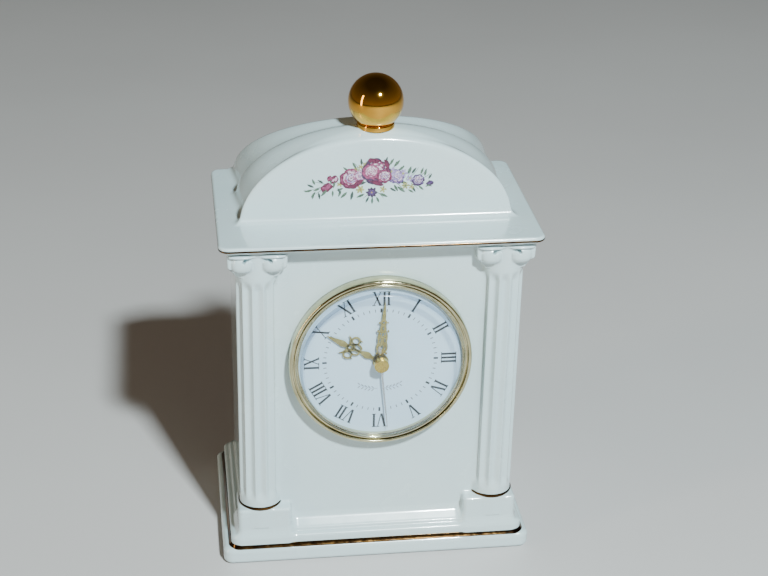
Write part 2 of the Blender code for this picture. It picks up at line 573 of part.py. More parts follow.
def main():
    for obj in list(bpy.data.objects):
        bpy.data.objects.remove(obj, do_unlink=True)
    names = ("base", "front_panel", "case_shell", "pedestal", "column", "capital", "cornice", "vault")
    glaze = {name: material("porcelain_" + name, (0.80, 0.82, 0.80), 0.12) for name in names}
    gold = material("gold_lustre", (0.83, 0.55, 0.16), 0.12, 1.0)
    mats = {
        "brass": material("polished_brass", (0.78, 0.66, 0.42), 0.2, 1.0),
        "glass": material("clear_lens", (0.95, 0.97, 0.98), 0.03, 0.0, 0.25),
        "dial_white": material("dial_white", (0.83, 0.87, 0.92), 0.4),
        "black_plastic": material("black_plastic", (0.03, 0.03, 0.03), 0.45),
        "rubber": material("rubber", (0.05, 0.05, 0.05), 0.8),
        "copper": material("enamelled_copper", (0.55, 0.25, 0.10), 0.35, 0.6),
        "steel": material("bright_steel", (0.62, 0.62, 0.63), 0.3, 1.0),
        "board": material("circuit_board", (0.05, 0.22, 0.10), 0.5),
        "cell_foil": material("cell_foil", (0.12, 0.12, 0.13), 0.35, 0.3),
        "nylon": material("white_nylon", (0.80, 0.80, 0.76), 0.5),
        "magnet": material("ferrite", (0.10, 0.10, 0.11), 0.5),
    }
    build_base(glaze["base"])
    build_panel(glaze["front_panel"])
    build_shell(glaze["case_shell"])
    for word, side in (("left", -1), ("right", 1)):
        build_pedestal("pedestal_" + word, side, glaze["pedestal"])
        build_column("column_" + word, side, glaze["column"])
        build_capital("capital_" + word, side, glaze["capital"])
    build_cornice(glaze["cornice"])
    build_vault(glaze["vault"])
    build_finial(gold)
    build_insert_front(mats)
    build_movement_case(mats["black_plastic"])
    build_electrics(mats)
    build_motion_work(mats)
    build_train(mats)
    build_hands(mats)


main()
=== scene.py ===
"""Looks of the porcelain mantel clock: glazed case, gold lines, flower spray and brass-rimmed dial.

The builders work in millimetres, in the frame of the CAD model; MM turns their numbers into metres.
"""
from math import cos, pi, radians, sin, sqrt, tau

import bmesh
import bpy
import numpy as np
from mathutils import Matrix, Vector
from mathutils.geometry import tessellate_polygon


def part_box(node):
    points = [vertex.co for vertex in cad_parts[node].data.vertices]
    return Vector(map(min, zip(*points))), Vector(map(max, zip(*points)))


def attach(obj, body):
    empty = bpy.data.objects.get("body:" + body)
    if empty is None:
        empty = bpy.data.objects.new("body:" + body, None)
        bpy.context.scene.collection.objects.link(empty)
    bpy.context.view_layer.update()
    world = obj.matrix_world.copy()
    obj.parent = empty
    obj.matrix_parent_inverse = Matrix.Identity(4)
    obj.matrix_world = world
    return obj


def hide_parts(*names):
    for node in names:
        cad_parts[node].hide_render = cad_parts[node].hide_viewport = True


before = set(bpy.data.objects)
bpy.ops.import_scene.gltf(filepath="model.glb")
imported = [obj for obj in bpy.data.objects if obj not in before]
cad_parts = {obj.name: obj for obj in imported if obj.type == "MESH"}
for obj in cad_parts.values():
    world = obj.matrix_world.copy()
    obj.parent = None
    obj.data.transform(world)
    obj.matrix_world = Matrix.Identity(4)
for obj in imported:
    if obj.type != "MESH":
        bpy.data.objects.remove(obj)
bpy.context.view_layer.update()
MM = 0.001


def span(node):
    """Lowest and highest corner of a CAD node, in millimetres."""
    low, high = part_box(node)
    return [v / MM for v in low], [v / MM for v in high]


# ---- places, read from the CAD model ----
BASE_LOW, BASE_HIGH = span("base")
PEDESTAL_LOW, PEDESTAL_HIGH = span("pedestal_right")
SHELL_LOW, SHELL_HIGH = span("case_shell")
CORNICE_LOW, CORNICE_HIGH = span("cornice")
BALL_LOW, BALL_HIGH = span("finial_ball")
COLLAR_LOW, COLLAR_HIGH = span("finial_collar")
BEZEL_LOW, BEZEL_HIGH = span("bezel")
LENS_LOW, LENS_HIGH = span("lens")
CAP_LOW, CAP_HIGH = span("hub_cap")
CAPITAL_FOOT = span("capital_right")[0][2]
PANEL_FRONT = span("front_panel")[0][1]
VAULT_FRONT = span("vault")[0][1]
DIAL_FACE = span("dial")[0][1]
DIAL_Z = (BEZEL_LOW[2] + BEZEL_HIGH[2]) / 2
BALL_Y = (BALL_LOW[1] + BALL_HIGH[1]) / 2
VAULT_SPRING = CORNICE_HIGH[2]
CASE_TOP = CORNICE_LOW[2] + 0.5

# ---- porcelain sizes ----
BASE_CORNER, BASE_H = 5.0, 9.0
STEP_LOW, STEP_CORNER, REAR_IN_SHARE = 3.0, 4.5, 0.4
PLINTH_IN, PLINTH_TOP, PLINTH_FRONT = 4.0, 15.2, BASE_LOW[1] + 1.8
COURSE_IN, COURSE_TOP, COURSE_FRONT = 7.1, 17.0, -44.2
WALL = 4.7
COLUMN_X, COLUMN_Y, COLUMN_R, COLUMN_FOOT = 59.3, -36.0, 10.5, 30.5
FLUTES, FLUTE_DEPTH, FLUTES_LOW, FLUTES_HIGH = 12, 1.7, 34.0, 158.0
NECK_FRONT, CAPITAL_BACK = -43.4, -28.0
FRONT_HOLE_R, REAR_HOLE_R = 41.0, 39.0
SLAB_Z, SLAB_CORNER = 174.7, 5.0
VAULT_HALF, VAULT_RISE, VAULT_POWER = 66.0, 44.2, 1.9
VAULT_FOOT_DEPTH, VAULT_CROWN_DEPTH, VAULT_LEAN = 69.4, 24.5, 1.4
VAULT_SHELL = 5.0
RIDGES, HOLLOW = 2, 0.042
BODY_FACES, TOP_FACES = 190_000, 120_000

# ---- dial, hands and paint ----
ROMAN = ("I", "II", "III", "IV", "V", "VI", "VII", "VIII", "IX", "X", "XI", "XII")
NUMERAL_FOOT_R, NUMERAL_H = 30.0, 7.5
HOUR_ANGLE, MINUTE_ANGLE, SECOND_ANGLE, HAND_PROUD = 300.2, 2.9, 174.0, 0.05
PAINT = 0.02


# ---- camera, floor and lights ----
def add_camera():
    """Camera a little above the clock and to its left, looking down."""
    place = Vector((-0.09663, -0.73791, 0.49488))
    pitch, yaw, roll = 0.456197, 0.139593, 0.0213489
    forward = Vector((sin(yaw) * cos(pitch), cos(yaw) * cos(pitch), -sin(pitch)))
    level = Vector((cos(yaw), -sin(yaw), 0.0))
    upright = level.cross(forward)
    right = level * cos(roll) + upright * sin(roll)
    up = upright * cos(roll) - level * sin(roll)
    turn = Matrix((right, up, -forward)).transposed()
    camera = bpy.data.cameras.new("camera")
    camera.lens = 76.72
    camera.sensor_width = 36.0
    camera.clip_start = 0.05
    camera.clip_end = 20.0
    obj = bpy.data.objects.new("camera", camera)
    obj.matrix_world = Matrix.Translation(place) @ turn.to_4x4()
    bpy.context.scene.collection.objects.link(obj)
    bpy.context.scene.camera = obj


def add_light(name, place, target, width, height, watts, colour):
    """Upright rectangular light aimed at a point."""
    light = bpy.data.lights.new(name, "AREA")
    light.shape = "RECTANGLE"
    light.size = width
    light.size_y = height
    light.energy = watts
    light.color = colour
    obj = bpy.data.objects.new(name, light)
    obj.location = place
    obj.rotation_euler = (Vector(target) - Vector(place)).to_track_quat("-Z", "Y").to_euler()
    bpy.context.scene.collection.objects.link(obj)


def add_node(tree, kind, operation=None, **sockets):
    """Adds a shader node; a socket given as another's output is linked, any other value is set."""
    node = tree.nodes.new("ShaderNode" + kind)
    if operation:
        node.operation = operation
    for name, value in sockets.items():
        socket = node.inputs[name.replace("_", " ")]
        if isinstance(value, bpy.types.NodeSocket):
            tree.links.new(value, socket)
        else:
            socket.default_value = value
    return node


def fill_ramp(ramp, stops):
    """Sets a colour ramp's stops of (position, rgb)."""
    while len(ramp.elements) < len(stops):
        ramp.elements.new(0.5)
    for element, (position, rgb) in zip(ramp.elements, stops):
        element.position = position
        element.color = (*rgb, 1.0)


def add_world():
    """Soft surroundings: pale and warm in front and low down, dark overhead and behind."""
    world = bpy.data.worlds.new("studio")
    world.use_nodes = True
    tree = world.node_tree
    background = tree.nodes["Background"]
    background.inputs["Strength"].default_value = 0.32
    split = add_node(tree, "SeparateXYZ", Vector=add_node(tree, "TexCoord").outputs["Generated"])
    height = add_node(tree, "ValToRGB", Fac=split.outputs["Z"])
    shades = [(0.0, (0.90, 0.70, 0.44)), (0.3, (0.54, 0.44, 0.30)), (0.85, (0.13, 0.11, 0.10))]
    fill_ramp(height.color_ramp, shades)
    behind = add_node(tree, "MapRange", From_Min=-0.9, From_Max=0.9, To_Min=1.0, To_Max=0.45,
                      Value=split.outputs["Y"])
    dim = add_node(tree, "VectorMath", "SCALE", Vector=height.outputs[0], Scale=behind.outputs[0])
    tree.links.new(dim.outputs[0], background.inputs["Color"])
    bpy.context.scene.world = world


# ---- materials ----
class Surface:
    """A Principled material and the node calls its builders share."""

    def __init__(self, name, rgb, roughness, metallic=0.0, **sockets):
        self.material = bpy.data.materials.new(name)
        self.material.use_nodes = True
        self.tree = self.material.node_tree
        self.shader = self.tree.nodes["Principled BSDF"]
        self.shader.inputs["Base Color"].default_value = (*rgb, 1.0)
        self.shader.inputs["Roughness"].default_value = roughness
        self.shader.inputs["Metallic"].default_value = metallic
        for socket, value in sockets.items():
            self.shader.inputs[socket.replace("_", " ")].default_value = value
        self.place = self.add("TexCoord").outputs["Object"]

    def add(self, kind, **sockets):
        """Adds a node to the material."""
        return add_node(self.tree, kind, **sockets)

    def noise(self, scale, detail=3.0, stretch=(1.0, 1.0, 1.0), rough=0.5):
        """Noise in object space; scale counts cells per metre."""
        place = self.add("Mapping", Scale=stretch, Vector=self.place).outputs[0]
        return self.add("TexNoise", Scale=scale, Detail=detail, Roughness=rough, Vector=place).outputs[0]

    def spots(self, scale):
        """Distance to the nearest of scattered points; scale counts cells per metre."""
        return self.add("TexVoronoi", Scale=scale, Vector=self.place).outputs[0]

    def ramp(self, source, stops):
        """Colour ramp; stops are (position, rgb)."""
        node = self.add("ValToRGB", Fac=source)
        fill_ramp(node.color_ramp, stops)
        return node.outputs[0]

    def spread(self, source, low, high, start=0.3, end=0.7):
        """Stretches a value between two others."""
        node = self.add("MapRange", From_Min=start, From_Max=end, To_Min=low, To_Max=high, Value=source)
        return node.outputs[0]

    def bump(self, source, distance, strength=1.0):
        """Adds a bump under the ones already there; distance in metres."""
        node = self.add("Bump", Strength=strength, Distance=distance, Height=source)
        normal = self.shader.inputs["Normal"]
        if normal.is_linked:
            self.tree.links.new(normal.links[0].from_socket, node.inputs["Normal"])
        self.tree.links.new(node.outputs[0], normal)

    def paint(self, socket, source):
        """Drives a socket of the shader."""
        self.tree.links.new(source, self.shader.inputs[socket])


def glaze():
    """Cool white porcelain under a thick clear glaze, faintly uneven, with a few pinholes."""
    s = Surface("porcelain_glaze", (0.60, 0.73, 0.755), 0.22, Coat_Weight=1.0, Coat_Roughness=0.05)
    s.paint("Base Color", s.ramp(s.noise(14.0, 4.0), [(0.30, (0.55, 0.68, 0.72)), (0.52, (0.58, 0.705, 0.74)),
                                                      (0.72, (0.61, 0.715, 0.73))]))
    s.paint("Roughness", s.spread(s.noise(60.0, 4.0), 0.16, 0.30))
    s.bump(s.noise(90.0, 2.0), 0.00012, 0.5)
    s.bump(s.spread(s.spots(160.0), 0.0, 1.0, 0.03, 0.07), 0.00004, 0.35)
    return s.material


def metal(name, rgb, worn, rough, brushed=(1.0, 1.0, 1.0), scale=300.0):
    """Metal with cloudy tint, fine scratches along one direction and uneven polish."""
    s = Surface(name, rgb, rough, 1.0)
    s.paint("Base Color", s.ramp(s.noise(scale * 0.3, 4.0), [(0.30, worn), (0.60, rgb)]))
    s.paint("Roughness", s.spread(s.noise(scale, 4.0, brushed), rough * 0.7, rough * 1.5))
    s.bump(s.noise(scale * 4.0, 3.0, brushed), 0.00001, 0.35)
    return s.material


def moulded(name, rgb, other, rough, grain=2500.0):
    """Moulded plastic, rubber or card: faint mottling and a fine grain."""
    s = Surface(name, rgb, rough)
    s.paint("Base Color", s.ramp(s.noise(60.0, 5.0), [(0.35, other), (0.65, rgb)]))
    s.paint("Roughness", s.spread(s.noise(grain * 0.2, 3.0), rough * 0.85, min(1.0, rough * 1.2)))
    s.bump(s.noise(grain, 2.0), 0.00003, 0.4)
    return s.material


def enamel(name, rgb, other, rough=0.25):
    """Fired colour on the glaze: washed from light to dark in small strokes."""
    s = Surface(name, rgb, rough, Coat_Weight=0.8, Coat_Roughness=0.08)
    s.paint("Base Color", s.ramp(s.noise(900.0, 4.0, rough=0.65), [(0.36, other), (0.62, rgb)]))
    s.paint("Roughness", s.spread(s.noise(600.0, 2.0), rough * 0.8, rough * 1.4))
    s.bump(s.noise(1500.0, 2.0), 0.00001, 0.4)
    return s.material


def clear_lens(name, passed, rough):
    """Clear crystal: reflects more at a glancing angle and passes a share of the light, faintly smeared."""
    s = Surface(name, (1.0, 1.0, 1.0), 0.02, 1.0, Specular_IOR_Level=0.5)
    s.paint("Roughness", s.spread(s.noise(50.0, 4.0), rough * 0.5, rough * 1.6))
    s.bump(s.noise(25.0, 1.0), 0.00005, 0.1)
    steep = add_node(s.tree, "Math", "POWER")
    steep.inputs[1].default_value = 5.0
    s.tree.links.new(s.add("LayerWeight").outputs["Facing"], steep.inputs[0])
    share = add_node(s.tree, "Math", "MULTIPLY_ADD")
    share.inputs[1].default_value = 0.7
    share.inputs[2].default_value = 0.03
    s.tree.links.new(steep.outputs[0], share.inputs[0])
    mix = s.add("MixShader", Fac=share.outputs[0])
    s.tree.links.new(s.add("BsdfTransparent", Color=(*passed, 1.0)).outputs[0], mix.inputs[1])
    s.tree.links.new(s.shader.outputs[0], mix.inputs[2])
    s.tree.links.new(mix.outputs[0], s.tree.nodes["Material Output"].inputs["Surface"])
    return s.material


def floor_paint():
    """Matt pale card."""
    s = Surface("floor_card", (0.59, 0.56, 0.56), 0.6)
    s.paint("Base Color", s.ramp(s.noise(3.0, 4.0), [(0.3, (0.56, 0.53, 0.53)), (0.7, (0.60, 0.57, 0.57))]))
    s.bump(s.noise(900.0, 3.0), 0.0001, 0.2)
    return s.material


# ---- mesh helpers ----
def keep(name, mesh, material, body, nodes=(), smooth=True):
    """Puts a finished mesh in the scene as a piece that rides on a body."""
    materials = material if isinstance(material, (list, tuple)) else [material]
    for one in materials:
        mesh.materials.append(one)
    if smooth:
        mesh.shade_smooth()
    obj = bpy.data.objects.new(name, mesh)
    bpy.context.scene.collection.objects.link(obj)
    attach(obj, body)
    if nodes:
        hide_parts(*nodes)
    return obj


def finish_bmesh(name, bm, material, body, nodes=(), sharp=35.0):
    """A piece from a bmesh in millimetres, smooth apart from its sharp edges."""
    bmesh.ops.recalc_face_normals(bm, faces=bm.faces)
    bmesh.ops.scale(bm, vec=(MM, MM, MM), verts=bm.verts)
    mesh = bpy.data.meshes.new(name)
    bm.to_mesh(mesh)
    bm.free()
    obj = keep(name, mesh, material, body, nodes)
    mesh.set_sharp_from_angle(angle=radians(sharp))
    return obj


def bridge(bm, rings, around=True):
    """Faces between neighbouring rings of points; around joins the last ring to the first."""
    following = rings[1:] + rings[:1] if around else rings[1:]
    for a, b in zip(rings, following):
        for j in range(len(a)):
            k = (j + 1) % len(a)
            bm.faces.new((a[j], a[k], b[k], b[j]))


def turn(profile, centre, axis, steps):
    """Mesh turned from a closed profile of (radius, height) about an upright or front-to-back axis."""
    bm = bmesh.new()
    rings = []
    for i in range(steps):
        a = tau * i / steps
        ring = []
        for radius, height in profile:
            u, v = radius * cos(a), radius * sin(a)
            if axis == "Y":
                ring.append(bm.verts.new((centre[0] + u, height, centre[2] + v)))
            else:
                ring.append(bm.verts.new((centre[0] + u, centre[1] + v, height)))
        rings.append(ring)
    bridge(bm, rings)
    bmesh.ops.remove_doubles(bm, verts=bm.verts, dist=1e-4)
    return bm


def arc(cu, cv, r, start, end, steps):
    """Points of an arc in a profile, angles in degrees."""
    return [(cu + r * cos(radians(start + (end - start) * i / steps)),
             cv + r * sin(radians(start + (end - start) * i / steps))) for i in range(steps + 1)]


# ---- porcelain as a distance field ----
def smooth_min(a, b, k):
    """Union of two fields with a fillet about k wide."""
    h = np.maximum(k - np.abs(a - b), 0.0) / k
    return np.minimum(a, b) - h * h * k * 0.25


def smooth_max(a, b, k):
    """Intersection of two fields with its edge rounded over about k."""
    return -smooth_min(-a, -b, k)


def plan(x, y, low, high, corner):
    """Distance to a rounded rectangle seen from above."""
    qx = np.abs(x - (low[0] + high[0]) / 2) - (high[0] - low[0]) / 2 + corner
    qy = np.abs(y - (low[1] + high[1]) / 2) - (high[1] - low[1]) / 2 + corner
    return np.hypot(np.maximum(qx, 0), np.maximum(qy, 0)) + np.minimum(np.maximum(qx, qy), 0) - corner


def slab_between(d, z, z0, z1, edge):
    """Field of an outline distance d raised from z0 to z1, its rims rounded."""
    a = d + edge
    b = np.abs(z - (z0 + z1) / 2) - (z1 - z0) / 2 + edge
    return np.minimum(np.maximum(a, b), 0) + np.hypot(np.maximum(a, 0), np.maximum(b, 0)) - edge


def rise(v, start, end):
    """Smooth step from 0 to 1."""
    t = np.clip((v - start) / (end - start), 0.0, 1.0)
    return t * t * (3 - 2 * t)


def capital_field(cx, y, z):
    """Scrolled capital; cx is measured from the column's middle, outwards positive."""
    share = np.clip((z - CAPITAL_FOOT) / (CASE_TOP - CAPITAL_FOOT), 0.0, 1.0)
    half = 9.4 + 4.3 * rise(share, 0.0, 0.55) + 0.7 * share
    front = NECK_FRONT - 2.4 * rise(share, 0.3, 0.5)
    side = np.abs(cx)
    block = smooth_max((side - half) * 0.9, front - y, 1.2)
    block = smooth_max(block, y - CAPITAL_BACK, 1.0)
    block = smooth_max(block, np.maximum(CAPITAL_FOOT + 1.6 - z, z - CASE_TOP), 0.8)
    scroll = (np.abs((side - 7.1) / 5.7) ** 2.5 + np.abs((z - 166.6) / 4.7) ** 2.5
              + np.abs((y + 43.0) / 5.1) ** 2.5)
    block = smooth_min(block, (scroll ** 0.4 - 1.0) * 4.7, 0.4)
    lip = np.sqrt(((side - 7.4) / 6.4) ** 2 + ((z - 171.0) / 0.95) ** 2 + ((y + 46.0) / 2.2) ** 2)
    block = smooth_min(block, (lip - 1.0) * 1.2, 0.4)
    across, above = side - 4.4, z - 167.3
    along = np.clip(np.arctan2(above, across), radians(35.0), radians(185.0))
    curl = np.hypot(across - 2.4 * np.cos(along), above - 2.3 * np.sin(along)) - 0.7
    block = smooth_max(block, -np.maximum(curl, y - NECK_FRONT), 0.4)
    seam = np.hypot(side - 1.9, np.maximum(np.abs(z - 164.4) - 2.6, 0.0)) - 0.6
    block = smooth_max(block, -np.maximum(seam, y - NECK_FRONT), 0.4)
    dimple = np.sqrt(cx ** 2 + ((z - 170.2) * 0.9) ** 2 + (y + 46.1) ** 2) - 0.8
    return smooth_max(block, -dimple, 0.6)


def step_corners(gap, front):
    """Corners of a step that stands back from the base's outline by gap."""
    return (BASE_LOW[0] + gap, front), (BASE_HIGH[0] - gap, BASE_HIGH[1] - gap * REAR_IN_SHARE)


def foot_field(x, y, z):
    """Base slab, the two steps on it and the sloping sill under the panel."""
    foot = slab_between(plan(x, y, BASE_LOW, BASE_HIGH, BASE_CORNER), z, 0.0, BASE_H, 2.6)
    plinth = plan(x, y, *step_corners(PLINTH_IN, PLINTH_FRONT), STEP_CORNER)
    foot = smooth_min(foot, slab_between(plinth, z, STEP_LOW, PLINTH_TOP, 1.9), 0.8)
    course = plan(x, y, *step_corners(COURSE_IN, COURSE_FRONT), STEP_CORNER)
    foot = smooth_min(foot, slab_between(course, z, STEP_LOW, COURSE_TOP, 0.9), 1.6)
    slope = ((z - COURSE_TOP) - (y - COURSE_FRONT)) * 0.707
    ends = np.maximum(np.abs(x) - 58.0, np.maximum(y + 35.0, STEP_LOW - z))
    return smooth_min(foot, np.maximum(np.maximum(slope, COURSE_FRONT - y), ends), 0.7)


def column_field(cx, cy, z):
    """Fluted column about its own middle, flared a little at the foot."""
    theta = np.arctan2(cx, -cy)
    fluted = rise(z, FLUTES_LOW, FLUTES_LOW + 7.0) * rise(-z, -FLUTES_HIGH, -FLUTES_HIGH + 6.0)
    groove = np.sqrt(np.cos(theta * FLUTES / 2) ** 2 + 0.015) - 0.12
    flare = 0.25 * np.exp(-np.maximum(z - COLUMN_FOOT, 0.0) / 2.5)
    radius = COLUMN_R - 0.15 - FLUTE_DEPTH * groove * fluted + flare
    return np.maximum(np.hypot(cx, cy) - radius, np.maximum(20.0 - z, z - CASE_TOP))


def hollow_field(x, y, z):
    """Room inside the case and the round holes through its front and rear."""
    low = (SHELL_LOW[0] + WALL, PANEL_FRONT + WALL)
    high = (SHELL_HIGH[0] - WALL, SHELL_HIGH[1] - WALL)
    room = slab_between(plan(x, y, low, high, 3.0), z, 4.5, CASE_TOP + 20.0, 2.0)
    reach = np.hypot(x, z - DIAL_Z)
    front_hole = np.maximum(reach - FRONT_HOLE_R, y + 20.0)
    rear_hole = np.maximum(reach - REAR_HOLE_R, 20.0 - y)
    return room, np.minimum(front_hole, rear_hole)


def body_field(x, y, z):
    """The case up to the cornice: base, pedestals, columns, capitals, panel and walls."""
    ax = np.abs(x)
    walls = plan(x, y, (SHELL_LOW[0], -33.5), SHELL_HIGH, 3.0)
    panel = plan(x, y, (-62.0, PANEL_FRONT), (62.0, -30.0), 0.8)
    walls, panel = (slab_between(d, z, 8.0, CASE_TOP, 0.5) for d in (walls, panel))
    body = smooth_min(walls, panel, 3.0)
    pedestal = slab_between(plan(ax, y, PEDESTAL_LOW, PEDESTAL_HIGH, 2.2), z, 5.0, PEDESTAL_HIGH[2], 1.5)
    body = smooth_min(body, smooth_min(foot_field(x, y, z), pedestal, 3.6), 1.6)
    cx, cy = ax - COLUMN_X, y - COLUMN_Y
    body = smooth_min(body, column_field(cx, cy, z), 1.4)
    body = smooth_min(body, capital_field(cx, y, z), 0.9)
    room, holes = hollow_field(x, y, z)
    return smooth_max(smooth_max(body, -room, 0.8), -holes, 1.2)


def vault_field(x, y, z, shrink):
    """Arched pediment, smaller by shrink: upright front, hollows between ridges, back leaning forward."""
    up = np.clip((z - VAULT_SPRING) / VAULT_RISE, 0.0, 1.05)
    crown = np.clip(up, 0.0, 1.0) ** 2
    depth = VAULT_FOOT_DEPTH + (VAULT_CROWN_DEPTH - VAULT_FOOT_DEPTH) * up ** VAULT_LEAN
    share = np.clip((y - VAULT_FRONT) / depth, 0.0, 1.0) * RIDGES
    phase = share - np.floor(np.minimum(share, RIDGES - 1e-6))
    dip = rise(phase, 0.0, 0.28) * (1.0 - rise(phase, 0.12, 1.0)) * 1.5
    size = 1.0 - HOLLOW * dip * (0.6 + 0.4 * rise(up, 0.0, 0.25)) * (1.0 - 0.8 * crown)
    half, height = VAULT_HALF * size, VAULT_RISE * size
    u = np.abs(x) / half
    v = np.maximum(z - VAULT_SPRING, 0.0) / height
    rho = (u ** VAULT_POWER + v ** VAULT_POWER + 1e-9) ** (1 / VAULT_POWER)
    gu = (u / rho) ** (VAULT_POWER - 1) / half
    gv = (v / rho) ** (VAULT_POWER - 1) / height
    arch = (rho - 1.0) / np.sqrt(gu * gu + gv * gv + 1e-9) + shrink
    front = VAULT_FRONT - y + shrink
    back = (y - VAULT_FRONT - depth) * 0.70 + shrink
    return smooth_max(smooth_max(arch, front, 1.0 + 8.0 * crown), back, 1.6)


def top_field(x, y, z):
    """Cornice slab with its moulding, and the vault that grows from it."""
    edge = plan(x, y, CORNICE_LOW, CORNICE_HIGH, SLAB_CORNER)
    slab = slab_between(edge, z, SLAB_Z, VAULT_SPRING, 1.14)
    inset = 1.3 + 1.9 * np.clip((SLAB_Z + 0.4 - z) / 2.8, 0.0, 1.0) ** 0.7
    moulding = np.maximum((edge + inset) * 0.85, np.maximum(CORNICE_LOW[2] - z, z - SLAB_Z - 0.8))
    top = smooth_min(slab, moulding, 0.35)
    vault = np.maximum(vault_field(x, y, z, 0.0), CORNICE_LOW[2] + 2.0 - z)
    top = smooth_min(top, vault, 4.0)
    return smooth_max(top, -vault_field(x, y, z, VAULT_SHELL), 0.8)


def mirrored(positive):
    """Grid lines on both sides of the middle from those on the right."""
    return np.concatenate([-positive[:0:-1], positive])


def lines(*runs):
    """Grid lines: each run is (start, end, spacing)."""
    made = [np.linspace(a, b, max(2, int(round((b - a) / step)) + 1)) for a, b, step in runs]
    return np.unique(np.round(np.concatenate(made), 6))


def surface_of(field, xs_right, ys, zs):
    """Points and four-sided faces of a mirrored field's surface, on a grid of uneven lines."""
    right = field(*np.meshgrid(xs_right, ys, zs, indexing="ij"))
    values = np.concatenate([right[:0:-1], right])
    axes = (mirrored(xs_right), ys, zs)
    shape = np.array(values.shape) - 1
    total = np.zeros((shape.prod(), 3))
    count = np.zeros(shape.prod())
    faces = []
    inside = values < 0
    for axis in range(3):
        second, third = (axis + 1) % 3, (axis + 2) % 3
        step = [0, 0, 0]
        step[axis] = 1
        low = inside[tuple(slice(0, -1) if k == axis else slice(None) for k in range(3))]
        high = inside[tuple(slice(1, None) if k == axis else slice(None) for k in range(3))]
        at = np.argwhere(low != high)
        good = np.ones(len(at), bool)
        for k in (second, third):
            good &= (at[:, k] > 0) & (at[:, k] < values.shape[k] - 1)
        at = at[good]
        after = at + step
        v0 = values[tuple(at.T)]
        v1 = values[tuple(after.T)]
        t = (v0 / (v0 - v1))[:, None]
        p0 = np.stack([axes[k][at[:, k]] for k in range(3)], 1)
        p1 = np.stack([axes[k][after[:, k]] for k in range(3)], 1)
        points = p0 + t * (p1 - p0)
        corners = []
        for du, dv in ((-1, -1), (0, -1), (0, 0), (-1, 0)):
            cell = at.copy()
            cell[:, second] += du
            cell[:, third] += dv
            index = (cell[:, 0] * shape[1] + cell[:, 1]) * shape[2] + cell[:, 2]
            corners.append(index)
            for k in range(3):
                total[:, k] += np.bincount(index, points[:, k], len(total))
            count += np.bincount(index, minlength=len(count))
        quad = np.stack(corners, 1)
        faces.append(np.where((v0 < 0)[:, None], quad, quad[:, ::-1]))
    faces = np.concatenate(faces)
    used, compact = np.unique(faces, return_inverse=True)
    return total[used] / count[used][:, None], compact.reshape(faces.shape)


def slope_of(field, points):
    """Gradient of a field at points."""
    h = 0.02
    columns = []
    for k in range(3):
        move = np.zeros(3)
        move[k] = h
        ahead, behind = points + move, points - move
        columns.append((field(*ahead.T) - field(*behind.T)) / (2 * h))
    return np.stack(columns, 1)


def settle(field, points, rounds):
    """Moves points onto the field's surface in short steps."""
    for _ in range(rounds):
        slope = slope_of(field, points)
        size = np.maximum((slope ** 2).sum(1), 0.05)
        shift = -(field(*points.T) / size)[:, None] * slope
        length = np.linalg.norm(shift, axis=1)[:, None]
        points = points + shift * np.minimum(1.0, 0.3 / np.maximum(length, 1e-9))
    return points


def porcelain(name, field, grid, target, material, nodes):
    """One fused porcelain piece, thinned where it is flat and shaded by the field's own slope."""
    points, faces = surface_of(field, *grid)
    points = settle(field, points, 2)
    mesh = bpy.data.meshes.new(name)
    mesh.from_pydata((points * MM).tolist(), [], faces.tolist())
    obj = keep(name, mesh, material, "case", nodes)
    thin = obj.modifiers.new("thin", "DECIMATE")
    thin.ratio = min(1.0, target / (2 * len(faces)))
    thinned = bpy.data.meshes.new_from_object(obj.evaluated_get(bpy.context.evaluated_depsgraph_get()))
    obj.modifiers.clear()
    obj.data = thinned
    bpy.data.meshes.remove(mesh)
    thinned.name = name
    points = np.array([v.co for v in thinned.vertices]) / MM
    points = settle(field, points, 1)
    thinned.vertices.foreach_set("co", (points * MM).astype(np.float32).ravel())
    normals = slope_of(field, points)
    normals /= np.maximum(np.linalg.norm(normals, axis=1)[:, None], 1e-9)
    thinned.shade_smooth()
    thinned.normals_split_custom_set_from_vertices(normals.tolist())
    thinned.update()
    print(name, len(faces) * 2, "->", len(thinned.polygons))
    return obj


def build_porcelain(material):
    """Body of the case, and the cornice with the vault; grid lines lie closer where there is detail."""
    body_grid = (lines((0.0, 43.0, 1.1), (43.0, 72.0, 0.45), (72.0, 79.6, 0.6)),
                 lines((-50.4, -24.0, 0.5), (-24.0, 41.0, 1.6), (41.0, 49.4, 0.6)),
                 lines((-0.8, 36.0, 0.6), (36.0, 152.0, 1.3), (152.0, 173.6, 0.42)))
    porcelain("porcelain_body", body_field, body_grid, BODY_FACES, material,
              ("base", "front_panel", "case_shell", "pedestal_left", "pedestal_right", "column_left",
               "column_right", "capital_left", "capital_right"))
    top_grid = (lines((0.0, 78.6, 0.75)),
                lines((-51.0, 51.0, 0.75)),
                lines((171.6, 177.6, 0.4), (177.6, 223.2, 0.75)))
    porcelain("porcelain_top", top_field, top_grid, TOP_FACES, material, ("cornice", "vault"))


# ---- gold ----
def outline_points(low, high, corner, steps=10):
    """Rounded rectangle seen from above, with the outward direction at each point."""
    points = []
    x0, x1 = low[0] + corner, high[0] - corner
    y0, y1 = low[1] + corner, high[1] - corner
    for cx, cy, start in ((x1, y1, 0), (x0, y1, 90), (x0, y0, 180), (x1, y0, 270)):
        for i in range(steps + 1):
            a = radians(start + 90 * i / steps)
            points.append((cx + corner * cos(a), cy + corner * sin(a), cos(a), sin(a)))
    return points


def gold_band(name, outline, section, material):
    """Closed band along an outline; section is a closed list of (outward, height)."""
    bm = bmesh.new()
    rings = []
    for x, y, nx, ny in outline:
        rings.append([bm.verts.new((x + nx * out, y + ny * out, z)) for out, z in section])
    bridge(bm, rings)
    finish_bmesh(name, bm, material, "case")


